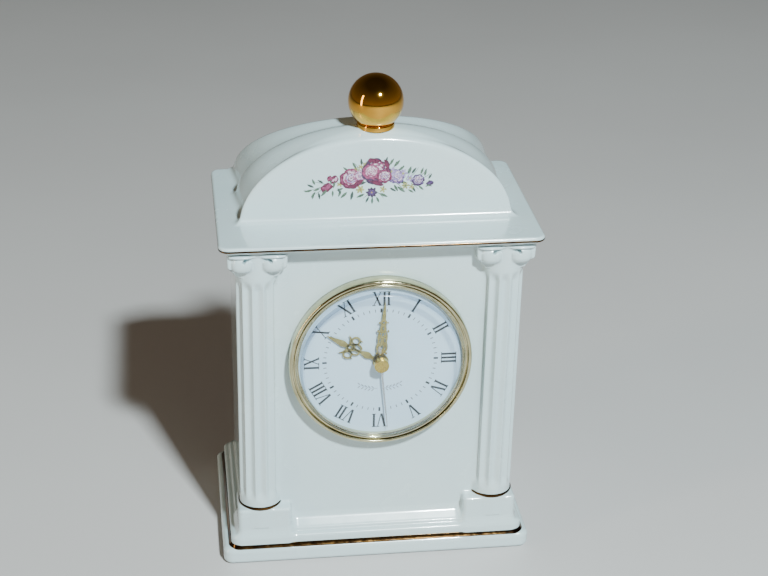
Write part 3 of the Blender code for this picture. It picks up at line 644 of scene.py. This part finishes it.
def build_gold_lines(material):
    """Gold line in the step of the base, and another round the cornice's lower rim."""
    step = [(-0.6, -0.5), (1.2, -0.5), (1.3, 0.15), (0.75, 0.8), (0.22, 1.7), (-0.6, 1.8)]
    section = [(out, BASE_H + up) for out, up in step]
    outline = outline_points(*step_corners(PLINTH_IN, PLINTH_FRONT), STEP_CORNER)
    gold_band("gold_line_base", outline, section, material)
    rim = [(-0.62 + 0.74 * cos(tau * i / 12), SLAB_Z + 0.42 + 0.74 * sin(tau * i / 12)) for i in range(12)]
    gold_band("gold_line_cornice", outline_points(CORNICE_LOW, CORNICE_HIGH, SLAB_CORNER), rim, material)


def build_column_ring(word, side, material):
    """Gold ring round the front of a column's foot, thinning towards its ends."""
    steps, sides, reach = 48, 8, 118
    bm = bmesh.new()
    rings = []
    for i in range(steps + 1):
        a = radians(-reach + 2 * reach * i / steps)
        thick = 0.22 + 0.72 * max(0.0, cos(a * 0.76)) ** 1.2
        ring = []
        for j in range(sides):
            b = tau * j / sides
            r = COLUMN_R + 0.1 + 0.5 * cos(b)
            height = PEDESTAL_HIGH[2] + 0.75 + thick * sin(b)
            ring.append(bm.verts.new((side * (COLUMN_X + r * sin(a)), COLUMN_Y - r * cos(a), height)))
        rings.append(ring)
    bridge(bm, rings, around=False)
    bm.faces.new(rings[0])
    bm.faces.new(rings[-1])
    finish_bmesh("gold_ring_" + word, bm, material, "case")


def build_ball(material):
    """Gold ball and the low collar that it stands on."""
    radius = (BALL_HIGH[0] - BALL_LOW[0]) / 2
    centre_z = BALL_HIGH[2] - radius
    cut = BALL_LOW[2] + 0.02
    first = -np.degrees(np.arcsin((centre_z - cut) / radius))
    profile = [(0.001, cut)] + arc(0.0, centre_z, radius, first, 90.0, 40)
    ball = turn(profile, (0.0, BALL_Y, 0.0), "Z", 96)
    finish_bmesh("gold_ball", ball, material, "case", ("finial_ball",), sharp=60.0)
    radius, low, high = (COLLAR_HIGH[0] - COLLAR_LOW[0]) / 2, COLLAR_LOW[2] - 1.6, COLLAR_HIGH[2]
    profile = [(0.001, low), (radius + 0.3, low), (radius + 0.3, low + 1.1)]
    profile += arc(radius - 0.55, high - 0.75, 0.75, -10, 90, 6)
    profile += [(radius - 1.8, high + 0.1), (radius - 2.1, high + 0.9), (0.001, high + 0.9)]
    collar = turn(profile, (0.0, BALL_Y, 0.0), "Z", 96)
    finish_bmesh("gold_collar", collar, material, "case", ("finial_collar",))


# ---- flat drawing: hands, numerals, flowers ----
def on_dial(angle, out=0.0):
    """Placing on the dial: u across, v outwards from out, turned clockwise by angle in degrees."""
    c, s = cos(radians(angle)), sin(radians(angle))

    def put(u, v, y):
        return (u * c + (v + out) * s, y, DIAL_Z - u * s + (v + out) * c)

    return put


def polygon_area(loop):
    """Signed area of a loop."""
    return sum(a[0] * b[1] - b[0] * a[1] for a, b in zip(loop, loop[1:] + loop[:1])) / 2


def oval(cu, cv, ru, rv, steps=20, tilt=0.0):
    """Oval loop, its own axes turned by tilt degrees."""
    c, s = cos(radians(tilt)), sin(radians(tilt))
    loop = []
    for i in range(steps):
        a = tau * i / steps
        u, v = ru * cos(a), rv * sin(a)
        loop.append((cu + u * c - v * s, cv + u * s + v * c))
    return loop


def spline(stations, steps=6):
    """Smooth (share, half width) outline of a blade from a few stations (v, half)."""
    vs = np.array([s[0] for s in stations], float)
    hs = np.array([s[1] for s in stations], float)
    fine = np.linspace(vs[0], vs[-1], steps * (len(vs) - 1) + 1)
    slopes = np.gradient(hs, vs)
    out = []
    for v in fine:
        i = min(int(np.searchsorted(vs, v, side="right")) - 1, len(vs) - 2)
        w = vs[i + 1] - vs[i]
        t = (v - vs[i]) / w
        h = ((2 * t ** 3 - 3 * t ** 2 + 1) * hs[i] + (t ** 3 - 2 * t ** 2 + t) * w * slopes[i]
             + (-2 * t ** 3 + 3 * t ** 2) * hs[i + 1] + (t ** 3 - t ** 2) * w * slopes[i + 1])
        out.append((float(v), max(float(h), 0.05)))
    return out


def blade(stations):
    """Closed outline of a symmetrical blade."""
    side = spline(stations)
    return [(h, v) for v, h in side] + [(-h, v) for v, h in reversed(side)]


class Sheet:
    """Thin flat shapes in one mesh, from back to front; put(u, v, y) gives the place of a drawn point."""

    def __init__(self, put, back, front):
        self.bm = bmesh.new()
        self.put = put
        self.back = back
        self.front = front

    def plate(self, outline, holes=(), index=0):
        """Flat plate with holes."""
        loops = [outline, *holes]
        flat = [[Vector((u, v, 0.0)) for u, v in loop] for loop in loops]
        points = [p for loop in flat for p in loop]
        levels = [[self.bm.verts.new(self.put(p.x, p.y, y)) for p in points] for y in (self.back, self.front)]
        for tri in tessellate_polygon(flat):
            for level in levels:
                self.bm.faces.new([level[i] for i in tri]).material_index = index
        start = 0
        for loop in loops:
            n = len(loop)
            for i in range(n):
                a, b = start + i, start + (i + 1) % n
                wall = (levels[0][a], levels[0][b], levels[1][b], levels[1][a])
                self.bm.faces.new(wall).material_index = index
            start += n

    def ribbon(self, path, halves, index=0, closed=False):
        """Flat strip along a path, with one half width or one for each point."""
        left, right = [], []
        n = len(path)
        for i, (u, v) in enumerate(path):
            before = path[i - 1] if i or closed else path[i]
            after = path[(i + 1) % n] if i < n - 1 or closed else path[i]
            du, dv = after[0] - before[0], after[1] - before[1]
            size = max(sqrt(du * du + dv * dv), 1e-9)
            half = halves[i] if isinstance(halves, (list, tuple)) else halves
            left.append((u - dv / size * half, v + du / size * half))
            right.append((u + dv / size * half, v - du / size * half))
        if closed:
            outline, hole = sorted((right, left), key=lambda loop: -polygon_area(loop) ** 2)
            self.plate(outline, [hole], index)
        else:
            self.plate(left + right[::-1], (), index)

    def ring(self, cu, cv, ru, rv, half, tilt=0.0):
        """Oval ring."""
        self.ribbon(oval(cu, cv, ru, rv, 28, tilt), half, closed=True)

    def finish(self, name, material, body, slot, nodes=()):
        """Makes the drawing a piece."""
        finish_bmesh(name, self.bm, material, body, nodes)


# ---- dial print ----
def numeral_strokes(letters, height):
    """Strokes of a numeral about its middle: quadrilaterals with thick and thin stems and flat serifs."""
    widths = {"I": 2.1, "V": 5.3, "X": 4.9}
    thick, thin, serif = 1.05, 0.44, 0.34
    u = -sum(widths[c] for c in letters) / 2
    strokes = []

    def stem(ua, ub, va, vb, wide):
        strokes.append([(ua - wide / 2, va), (ua + wide / 2, va), (ub + wide / 2, vb), (ub - wide / 2, vb)])

    def foot(centre, v, wide):
        strokes.append([(centre - wide / 2, v), (centre + wide / 2, v), (centre + wide / 2, v + serif),
                        (centre - wide / 2, v + serif)])

    for c in letters:
        w = widths[c]
        mid = u + w / 2
        if c == "I":
            stem(mid, mid, 0.0, height, thick)
            foot(mid, 0.0, 1.95)
            foot(mid, height - serif, 1.95)
        elif c == "V":
            stem(mid - 0.1, u + 0.85, 0.0, height, thick)
            stem(mid + 0.2, u + w - 0.85, 0.0, height, thin)
            foot(u + 0.9, height - serif, 2.0)
            foot(u + w - 0.85, height - serif, 1.7)
        else:
            stem(u + w - 0.85, u + 0.85, 0.0, height, thick)
            stem(u + 0.75, u + w - 0.75, 0.0, height, thin)
            for edge in (0.0, height - serif):
                foot(u + 0.85, edge, 1.6)
                foot(u + w - 0.85, edge, 1.6)
        u += w
    return strokes


def print_sheet(put=None):
    """Sheet for ink on the dial."""
    return Sheet(put, DIAL_FACE + 0.01, DIAL_FACE - 0.05)


def build_numerals(ink):
    """Roman numerals with their feet inwards and four written IV."""
    sheet = print_sheet()
    for hour, letters in enumerate(ROMAN, 1):
        sheet.put = on_dial(hour * 30.0, NUMERAL_FOOT_R)
        for stroke in numeral_strokes(letters, NUMERAL_H):
            sheet.plate(stroke)
    sheet.finish("dial_numerals", ink, "insert", "black_plastic")


def build_minute_track(bold_ink, fine_ink):
    """Minute ticks inside the numerals, bolder at the hours."""
    sheet = print_sheet()
    for minute in range(60):
        bold = minute % 5 == 0
        half, low, high = (0.48, 26.3, 28.5) if bold else (0.19, 26.6, 28.1)
        sheet.put = on_dial(minute * 6.0)
        sheet.plate([(-half, low), (half, low), (half, high), (-half, high)], index=0 if bold else 1)
    sheet.finish("dial_minute_track", [bold_ink, fine_ink], "insert", "black_plastic")


def build_sprigs(ink):
    """Two faint leaf sprigs below the hands' axis."""
    sheet = print_sheet(on_dial(0.0))
    for side in (-1, 1):
        stalk = [(side * (1.2 + 1.7 * i), -15.6 + 0.09 * i * i) for i in range(6)]
        sheet.ribbon(stalk, 0.09)
        for u, v in stalk[1:]:
            for lean in (-1, 1):
                sheet.plate(oval(u + side * 0.7, v + lean * 0.85, 0.85, 0.26, 12, lean * side * 42.0))
    sheet.finish("dial_sprigs", ink, "insert", "black_plastic")


# ---- hands ----
def hand_sheet(node, angle, proud):
    """Sheet at the depth of a hand's CAD node, its front moved forward by proud."""
    low, high = span(node)
    return Sheet(on_dial(angle), high[1], low[1] - proud)


def build_hour_hand(brass):
    """Pierced brass hour hand: hub, stem, scrolls round a ring and a leaf-shaped tip."""
    sheet = hand_sheet("hour_hand", HOUR_ANGLE, HAND_PROUD)
    sheet.plate(oval(0.0, 0.0, 3.9, 3.9, 36), [oval(0.0, 0.0, 2.3, 2.3, 30)])
    sheet.plate(blade([(3.2, 1.5), (5.0, 0.95), (7.3, 1.75), (9.2, 1.5), (11.6, 0.6)]))
    sheet.plate(blade([(18.3, 0.8), (19.6, 1.15), (21.8, 1.65), (23.6, 1.35), (26.6, 0.85), (30.6, 0.08)]))
    sheet.ring(0.0, 17.4, 1.35, 1.35, 0.55)
    sheet.plate(blade([(11.2, 0.45), (14.0, 0.4), (16.4, 0.7)]))
    for side in (-1, 1):
        sheet.ring(side * 1.5, 13.9, 1.25, 2.1, 0.42, -side * 10.0)
        sheet.ring(side * 4.15, 16.5, 1.85, 2.0, 0.48)
        leaf = [(side * u, v) for u, v in ((1.2, 17.9), (2.2, 18.5), (3.4, 18.9), (4.4, 19.6), (5.2, 20.9))]
        sheet.ribbon(leaf, [0.5, 0.55, 0.55, 0.42, 0.12])
        sheet.ribbon([(side * 1.3, 17.2), (side * 2.6, 16.6)], [0.5, 0.45])
        sheet.ribbon([(side * 4.4, 14.6), (side * 5.2, 14.0), (side * 5.1, 13.2)], [0.45, 0.35, 0.15])
    sheet.finish("hour_hand_pierced", brass, "hour", "polished_brass", ("hour_hand",))


def build_minute_hand(brass):
    """Pierced brass minute hand, widest near its root."""
    sheet = hand_sheet("minute_hand", MINUTE_ANGLE, HAND_PROUD)
    sheet.plate(oval(0.0, 0.0, 3.0, 3.0, 36), [oval(0.0, 0.0, 1.3, 1.3, 24)])
    outline = blade([(2.6, 1.2), (4.0, 0.75), (5.4, 1.9), (7.0, 2.65), (9.4, 2.7), (11.2, 2.25),
                     (13.0, 2.5), (15.2, 2.3), (17.2, 1.75), (19.2, 1.55), (20.6, 1.25), (21.8, 1.7),
                     (23.2, 1.0), (26.0, 0.85), (29.0, 0.6), (33.0, 0.08)])
    holes = [oval(0.0, 8.2, 0.62, 1.1),
             oval(-1.45, 7.6, 0.3, 0.8, 14, 15), oval(1.45, 7.6, 0.3, 0.8, 14, -15),
             oval(-1.15, 12.0, 0.36, 1.3, 16, -8), oval(1.15, 12.0, 0.36, 1.3, 16, 8),
             oval(0.0, 15.2, 0.5, 1.0),
             oval(-1.25, 15.6, 0.28, 0.8, 14, 8), oval(1.25, 15.6, 0.28, 0.8, 14, -8),
             oval(0.0, 18.4, 0.4, 0.9), oval(0.0, 21.7, 0.45, 0.5)]
    sheet.plate(outline, holes)
    for side in (-1, 1):
        for u, v, ru, rv in ((2.1, 21.6, 0.42, 0.42), (2.5, 17.0, 0.5, 0.7), (2.3, 4.9, 0.5, 0.6)):
            sheet.plate(oval(side * u, v, ru, rv, 14))
    sheet.finish("minute_hand_pierced", brass, "minute", "polished_brass", ("minute_hand",))


def build_second_hand(steel):
    """Thin steel second hand with a short counterweight."""
    sheet = hand_sheet("second_hand", SECOND_ANGLE, 0.0)
    sheet.plate(oval(0.0, 0.0, 2.0, 2.0, 30), [oval(0.0, 0.0, 0.8, 0.8, 20)])
    sheet.plate([(-0.5, 1.9), (0.5, 1.9), (0.4, 20.0), (0.2, 37.0), (-0.2, 37.0), (-0.4, 20.0)])
    sheet.plate(blade([(-9.0, 0.35), (-7.5, 0.75), (-5.0, 0.6), (-1.9, 0.4)]))
    sheet.finish("second_hand_needle", steel, "second", "bright_steel", ("second_hand",))


def build_hub_cap(gold):
    """Gilt cap over the hands' axis."""
    front, rear = CAP_LOW[1], CAP_HIGH[1]
    r = (CAP_HIGH[0] - CAP_LOW[0]) / 2
    profile = [(0.001, rear), (1.4, rear), (1.4, rear - 0.8), (r, rear - 0.85)]
    for inwards, forwards in ((0.0, 0.0), (0.08, 0.3), (0.3, 0.5), (0.6, 0.55)):
        profile.append((r - inwards, front + 0.55 - forwards))
    profile += [(r - 1.0, front + 0.12), (0.001, front + 0.14)]
    cap = turn(profile, (0.0, 0.0, DIAL_Z), "Y", 64)
    finish_bmesh("hub_cap_turned", cap, gold, "second", ("hub_cap",))


# ---- insert ----
def build_bezel(brass):
    """Brass bezel with a dark groove inside its crest."""
    r, back, crest = (BEZEL_HIGH[0] - BEZEL_LOW[0]) / 2, BEZEL_HIGH[1], BEZEL_LOW[1]
    profile = [(41.6, back), (r - 0.4, back), (r, back - 0.5), (r, crest + 2.1)]
    profile += arc(r - 1.6, crest + 1.45, 1.5, 0, -60, 6)[1:]
    inside = [(43.7, 0.0), (43.4, 0.02), (43.2, 0.2), (43.1, 0.9), (43.05, 2.2), (42.6, 2.2), (42.5, 0.9),
              (42.35, 0.72), (42.1, 0.66), (41.5, 0.9), (41.25, 1.15), (41.2, 2.2), (40.2, 2.2), (40.2, 3.6),
              (41.6, 3.6)]
    profile += [(radius, crest + depth) for radius, depth in inside]
    bezel = turn(profile, (0.0, 0.0, DIAL_Z), "Y", 160)
    finish_bmesh("bezel_turned", bezel, brass, "insert", ("bezel",), sharp=50.0)


def build_lens(face_glass, wall_shadow_glass, shoulder_shadow_glass):
    """Domed crystal with a steep wall and a rounded shoulder; wall and shoulder pass less light, painted
    shade that darkens a ring on the dial in place of the real crystal's refraction.
    """
    edge, top = (LENS_HIGH[0] - LENS_LOW[0]) / 2, LENS_LOW[1]
    rim = edge - 3.4
    steps = ((0.0, 6.6), (0.0, 5.9), (0.5, 4.4), (1.0, 2.4), (1.5, 1.4), (2.3, 0.75), (3.4, 0.5))
    wall = [(edge - inwards, top + depth) for inwards, depth in steps]
    face = [(r, top + 0.5 * (r / rim) ** 2) for r in (32.0, 24.0, 16.0, 8.0, 0.001)]
    under = [(max(r - 0.7 * (r > 30.0), 0.001), y + 0.9) for r, y in reversed(wall[2:] + face)]
    lens = turn(wall + face + under + [(edge - 1.3, top + 6.6)], (0.0, 0.0, DIAL_Z), "Y", 144)
    for part in lens.faces:
        centre = part.calc_center_median()
        reach = sqrt(centre.x ** 2 + (centre.z - DIAL_Z) ** 2)
        # Outer faces take the greyed wall glass and the shoulder the darker one: painted shade standing in
        # for the crystal's refraction shadow on the dial.
        part.material_index = int(reach > edge - 3.0)
        if edge - 2.6 < reach < edge - 1.1 and centre.y < top + 2.6:
            part.material_index = 2
    glass = [face_glass, wall_shadow_glass, shoulder_shadow_glass]
    finish_bmesh("lens_dome", lens, glass, "insert", ("lens",), sharp=80.0)


# ---- flower spray ----
class Spray(Sheet):
    """Flowers painted on the vault's front, each stroke a hair over the one before."""

    def __init__(self, words):
        super().__init__(lambda u, v, y: (u, y, v), VAULT_FRONT + PAINT, VAULT_FRONT - PAINT)
        self.words = words
        self.rng = np.random.default_rng(7)
        self.strokes = 0

    def stroke(self, outline, word):
        self.strokes += 1
        self.front = VAULT_FRONT - PAINT - 0.00035 * self.strokes
        self.plate(outline, index=self.words.index(word))

    def petal(self, cu, cv, ru, rv, tilt, word):
        loop = oval(cu, cv, ru, rv, 14, tilt)
        wobble = 1.0 + 0.12 * self.rng.standard_normal(len(loop))
        self.stroke([(cu + (u - cu) * w, cv + (v - cv) * w) for (u, v), w in zip(loop, wobble)], word)

    def leaf(self, cu, cv, length, tilt, word):
        c, s = cos(radians(tilt)), sin(radians(tilt))
        shape = [(0.0, 0.0), (0.25, 0.13), (0.55, 0.16), (0.85, 0.07), (1.0, 0.0), (0.85, -0.08),
                 (0.5, -0.15), (0.25, -0.11)]
        self.stroke([(cu + length * (u * c - v * s), cv + length * (u * s + v * c)) for u, v in shape], word)

    def rose(self, cu, cv, r, words):
        outer, middle, inner, heart = words
        rows = ((9, 0.66, 0.40, 0.33, heart, outer), (7, 0.52, 0.36, 0.25, heart, middle),
                (6, 0.32, 0.30, 0.19, outer, inner), (4, 0.14, 0.19, 0.11, heart, middle))
        for count, reach, long, wide, edge, inside in rows:
            for i in range(count):
                a = 360.0 / count * i + self.rng.uniform(-12, 12)
                u, v = cu + r * reach * cos(radians(a)), cv + r * reach * 0.92 * sin(radians(a))
                self.petal(u, v, r * long, r * wide, a + 90, edge)
                self.petal(u + 0.03 * r, v + 0.04 * r, r * long * 0.8, r * wide * 0.66, a + 90, inside)
                self.petal(u + 0.05 * r, v + 0.07 * r, r * long * 0.4, r * wide * 0.2, a + 90, "cream")

    def daisy(self, cu, cv, r, word, heart, count=6):
        for i in range(count):
            a = 360.0 / count * i + self.rng.uniform(-8, 8)
            u, v = cu + r * 0.55 * cos(radians(a)), cv + r * 0.55 * sin(radians(a))
            self.petal(u, v, r * 0.42, r * 0.24, a, word)
        self.petal(cu, cv, r * 0.26, r * 0.26, 0, heart)

    def bud(self, cu, cv, r, tilt, dark, light):
        self.petal(cu, cv, r, r * 0.8, tilt, dark)
        self.petal(cu + 0.25 * r, cv + 0.15 * r, r * 0.55, r * 0.3, tilt + 20, light)
        self.petal(cu - 0.3 * r, cv - 0.1 * r, r * 0.45, r * 0.25, tilt - 30, light)
        self.leaf(cu, cv - r * 0.4, r * 1.5, tilt + 200, "leaf")


def paint_leaves(spray):
    """Stems and leaves, drawn before the flowers that cover their roots."""
    leaves = [(-30.5, 194.4, 3.6, 155), (-31.2, 193.2, 3.8, 195), (-29.8, 192.2, 3.6, 235),
              (-28.4, 191.8, 3.6, 280), (-30.0, 195.6, 3.4, 115), (-27.6, 193.8, 3.4, 200),
              (-26.0, 196.5, 3.2, 150), (-17.6, 192.6, 3.6, 250), (-14.6, 191.6, 4.4, 225),
              (-12.0, 191.9, 4.6, 260), (-16.4, 193.6, 3.4, 200), (-6.6, 196.4, 4.4, 130),
              (-9.4, 195.0, 4.0, 20), (-6.2, 190.3, 4.2, 205), (0.8, 190.3, 4.4, 335),
              (-4.2, 188.8, 3.4, 245), (-0.6, 188.6, 3.4, 295), (-2.6, 188.3, 3.4, 270),
              (5.8, 192.9, 3.6, 330), (7.8, 194.6, 4.0, 300), (9.4, 193.6, 4.6, 320), (10.6, 195.8, 3.8, 350),
              (5.6, 204.6, 3.8, 60), (7.6, 203.6, 4.4, 50), (3.6, 205.8, 3.2, 75), (9.8, 201.6, 3.8, 40),
              (-10.4, 203.4, 3.6, 120), (-7.8, 204.8, 3.6, 95), (-14.2, 202.2, 3.2, 140),
              (14.4, 199.6, 4.2, 70), (16.2, 199.8, 3.8, 55), (20.6, 199.4, 3.6, 70), (22.6, 198.4, 3.8, 80),
              (16.6, 193.4, 3.4, 300), (14.6, 191.8, 3.2, 330), (19.6, 193.6, 3.4, 320),
              (24.4, 196.8, 3.2, 60), (23.4, 194.2, 3.0, 340), (-21.6, 192.6, 3.2, 270),
              (-19.2, 193.8, 3.0, 290), (-33.2, 192.4, 2.4, 170), (-30.6, 190.6, 2.4, 250)]
    stems = [(-25.0, 195.2, -31.8, 193.2), (-25.4, 194.6, -30.2, 190.8), (-24.6, 195.6, -31.2, 197.4),
             (5.0, 200.0, 8.8, 206.6), (4.0, 202.0, 6.4, 207.6), (8.0, 199.0, 12.4, 204.6),
             (13.6, 197.0, 16.4, 203.8), (15.0, 197.6, 19.6, 203.2), (19.0, 197.4, 23.8, 202.2),
             (20.4, 196.8, 25.6, 200.0), (-8.0, 201.0, -11.6, 206.4), (-6.0, 202.0, -8.4, 208.0),
             (-2.8, 192.0, -2.6, 186.6), (-3.6, 192.0, -7.0, 187.8), (-1.6, 192.0, 3.0, 187.6),
             (9.0, 195.4, 13.4, 190.4), (16.0, 195.0, 19.8, 191.6)]
    for u0, v0, u1, v1 in stems:
        shares = (0.0, 0.25, 0.5, 0.75, 1.0)
        bend = [(u0 + (u1 - u0) * t + 0.5 * sin(pi * t), v0 + (v1 - v0) * t) for t in shares]
        spray.ribbon(bend, [0.16, 0.14, 0.13, 0.11, 0.06], spray.words.index("leaf"))
    for i, (u, v, length, tilt) in enumerate(leaves):
        spray.leaf(u, v, length * 1.05, tilt, "leaf" if i % 3 else "dark_leaf")


def build_flowers(paints):
    """Spray of roses, small flowers and buds, from the outer ones to the middle rose."""
    spray = Spray(list(paints))
    paint_leaves(spray)
    for u, v in ((-8.2, 204.2), (-10.4, 202.8), (-6.0, 205.4)):
        spray.daisy(u, v, 1.5, "yellow", "ochre", 5)
    spray.daisy(-8.4, 192.6, 2.2, "yellow", "ochre", 6)
    spray.daisy(2.6, 192.3, 1.9, "yellow", "ochre", 5)
    spray.daisy(13.4, 193.9, 2.0, "yellow", "leaf", 6)
    spray.daisy(16.4, 193.2, 1.6, "yellow", "ochre", 5)
    spray.daisy(-18.2, 195.6, 1.6, "yellow", "ochre", 5)
    spray.daisy(-2.8, 190.9, 2.9, "plum", "violet", 8)
    spray.daisy(-2.8, 190.9, 1.6, "violet", "ochre", 6)
    spray.rose(9.0, 198.6, 4.2, ("lilac", "blush", "lilac", "violet"))
    spray.daisy(6.4, 201.4, 2.6, "lilac", "yellow", 6)
    spray.daisy(12.2, 200.2, 2.3, "lilac", "yellow", 6)
    spray.rose(19.4, 196.5, 3.3, ("violet", "lilac", "blush", "plum"))
    spray.daisy(15.6, 197.6, 2.0, "lilac", "yellow", 5)
    spray.bud(25.3, 194.9, 1.7, 10, "plum", "violet")
    spray.bud(-24.4, 194.2, 2.9, 30, "magenta", "pink")
    spray.bud(-20.7, 198.0, 2.3, 60, "magenta", "blush")
    spray.bud(-22.9, 198.6, 1.6, 90, "magenta", "pink")
    spray.rose(-13.0, 198.3, 5.6, ("pink", "blush", "lilac", "magenta"))
    spray.rose(-8.7, 199.4, 3.2, ("blush", "lilac", "blush", "pink"))
    spray.petal(-9.4, 196.0, 2.6, 1.2, 35, "magenta")
    spray.petal(-12.0, 194.5, 2.6, 1.0, 15, "magenta")
    spray.rose(-1.0, 201.4, 7.2, ("magenta", "pink", "blush", "plum"))
    spray.rose(-3.4, 201.6, 4.2, ("pink", "blush", "blush", "pink"))
    spray.rose(3.0, 199.0, 3.8, ("pink", "blush", "lilac", "magenta"))
    spray.petal(4.2, 205.4, 2.4, 1.2, 110, "magenta")
    spray.petal(-2.0, 207.2, 3.0, 1.1, 170, "magenta")
    spray.petal(-0.2, 195.6, 3.0, 1.1, 160, "magenta")
    spray.finish("flower_spray", list(paints.values()), "case", "porcelain")


# ---- carried-over parts ----
def recolour(names, material):
    """Gives CAD nodes a material."""
    for name in names:
        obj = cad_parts[name]
        obj.data.materials.clear()
        obj.data.materials.append(material)


def flower_paints():
    """Fired colours of the spray, by the words that its strokes use."""
    colours = {
        "magenta": ((0.17, 0.006, 0.055), (0.06, 0.003, 0.03)),
        "pink": ((0.38, 0.07, 0.18), (0.16, 0.015, 0.07)),
        "blush": ((0.72, 0.56, 0.66), (0.42, 0.16, 0.30)),
        "lilac": ((0.46, 0.38, 0.60), (0.17, 0.09, 0.30)),
        "violet": ((0.12, 0.055, 0.22), (0.045, 0.015, 0.10)),
        "plum": ((0.06, 0.02, 0.08), (0.03, 0.01, 0.045)),
        "yellow": ((0.46, 0.45, 0.16), (0.18, 0.18, 0.05)),
        "ochre": ((0.40, 0.26, 0.06), (0.20, 0.12, 0.03)),
        "leaf": ((0.10, 0.17, 0.11), (0.03, 0.07, 0.045)),
        "dark_leaf": ((0.045, 0.08, 0.065), (0.02, 0.04, 0.032)),
        "cream": ((0.80, 0.78, 0.80), (0.62, 0.52, 0.60)),
    }
    return {word: enamel("paint_" + word, *pair) for word, pair in colours.items()}


def recolour_inside(brass, steel):
    """Materials of the dial, the cup and the movement, whose shapes stay as in the CAD model."""
    recolour(["dial"], moulded("dial_card", (0.62, 0.78, 0.93), (0.59, 0.75, 0.91), 0.45))
    recolour(["cup", "movement_front", "movement_cover"],
             moulded("black_plastic", (0.018, 0.018, 0.020), (0.03, 0.03, 0.032), 0.42))
    recolour(["gasket"], moulded("rubber", (0.03, 0.03, 0.03), (0.05, 0.05, 0.048), 0.75))
    recolour(["bushing", "cannon_pinion", "second_wheel"], brass)
    recolour(["coil"],
             metal("enamelled_copper", (0.62, 0.24, 0.08), (0.40, 0.13, 0.04), 0.3, (1.0, 30.0, 1.0)))
    recolour(["stator", "crystal", "contact_plus", "contact_minus", "rotor_pinion"], steel)
    recolour(["circuit_board"], moulded("circuit_board", (0.03, 0.20, 0.08), (0.02, 0.13, 0.06), 0.4))
    recolour(["cell"], moulded("cell_foil", (0.10, 0.10, 0.11), (0.30, 0.22, 0.08), 0.3))
    recolour(["hour_wheel", "minute_wheel", "motion_wheel", "setting_knob", "third_wheel", "step_wheel"],
             moulded("white_nylon", (0.78, 0.78, 0.74), (0.70, 0.70, 0.65), 0.45))
    recolour(["rotor_magnet"], moulded("ferrite", (0.06, 0.06, 0.065), (0.10, 0.10, 0.105), 0.5))


def build_floor():
    """Pale floor just under the clock."""
    bpy.ops.mesh.primitive_grid_add(x_subdivisions=2, y_subdivisions=2, size=8.0, location=(0, 0, -0.0001))
    floor = bpy.context.object
    floor.name = "floor"
    floor.data.materials.append(floor_paint())


def main():
    add_camera()
    add_world()
    add_light("key", (0.35, -1.23, 1.40), (0.0, -0.03, 0.12), 0.13, 0.13, 67.0, (0.84, 0.985, 1.0))
    add_light("strip", (-1.35, -0.55, 0.45), (0.0, 0.0, 0.1), 0.16, 1.0, 6.0, (1.0, 0.84, 0.62))
    lustre = metal("gold_lustre", (0.88, 0.50, 0.09), (0.66, 0.32, 0.04), 0.06, scale=120.0)
    # Gold lines and column rings: the near-black colour is a painted dark reflection, standing in for the
    # gold lustre mirroring dark surroundings.
    gold_line_dark_reflection = metal("gold_line_dark_reflection", (0.11, 0.055, 0.018), (0.025, 0.013, 0.008), 0.12, scale=500.0)
    brass = metal("polished_brass", (0.66, 0.595, 0.38), (0.48, 0.42, 0.24), 0.13)
    hand_brass = metal("stamped_brass", (0.50, 0.43, 0.17), (0.34, 0.28, 0.10), 0.34, scale=900.0)
    cap_brass = metal("gilt_cap", (0.60, 0.43, 0.09), (0.42, 0.28, 0.05), 0.25, scale=500.0)
    steel = metal("bright_steel", (0.60, 0.61, 0.63), (0.42, 0.43, 0.45), 0.3, (1.0, 1.0, 6.0))
    ink = moulded("dial_ink", (0.012, 0.016, 0.022), (0.02, 0.026, 0.034), 0.5)
    fine_ink = moulded("dial_ink_fine", (0.10, 0.11, 0.14), (0.13, 0.15, 0.18), 0.5)
    faint_ink = moulded("dial_ink_faint", (0.22, 0.27, 0.34), (0.30, 0.35, 0.42), 0.5)
    build_porcelain(glaze())
    build_gold_lines(gold_line_dark_reflection)
    for word, side in (("left", -1), ("right", 1)):
        build_column_ring(word, side, gold_line_dark_reflection)
    build_ball(lustre)
    build_bezel(brass)
    # The wall and shoulder glasses are greyed as painted shade: they cast a dark ring on the dial where the
    # real crystal bends light away.
    build_lens(clear_lens("clear_lens", (0.985, 0.995, 1.0), 0.03),
               clear_lens("crystal_wall_shadow_tint", (0.93, 0.95, 0.97), 0.12),
               clear_lens("crystal_shoulder_shadow_tint", (0.58, 0.61, 0.66), 0.3))
    build_numerals(ink)
    build_minute_track(ink, fine_ink)
    build_sprigs(faint_ink)
    build_hour_hand(hand_brass)
    build_minute_hand(hand_brass)
    build_second_hand(steel)
    build_hub_cap(cap_brass)
    build_flowers(flower_paints())
    recolour_inside(brass, steel)
    build_floor()


main()
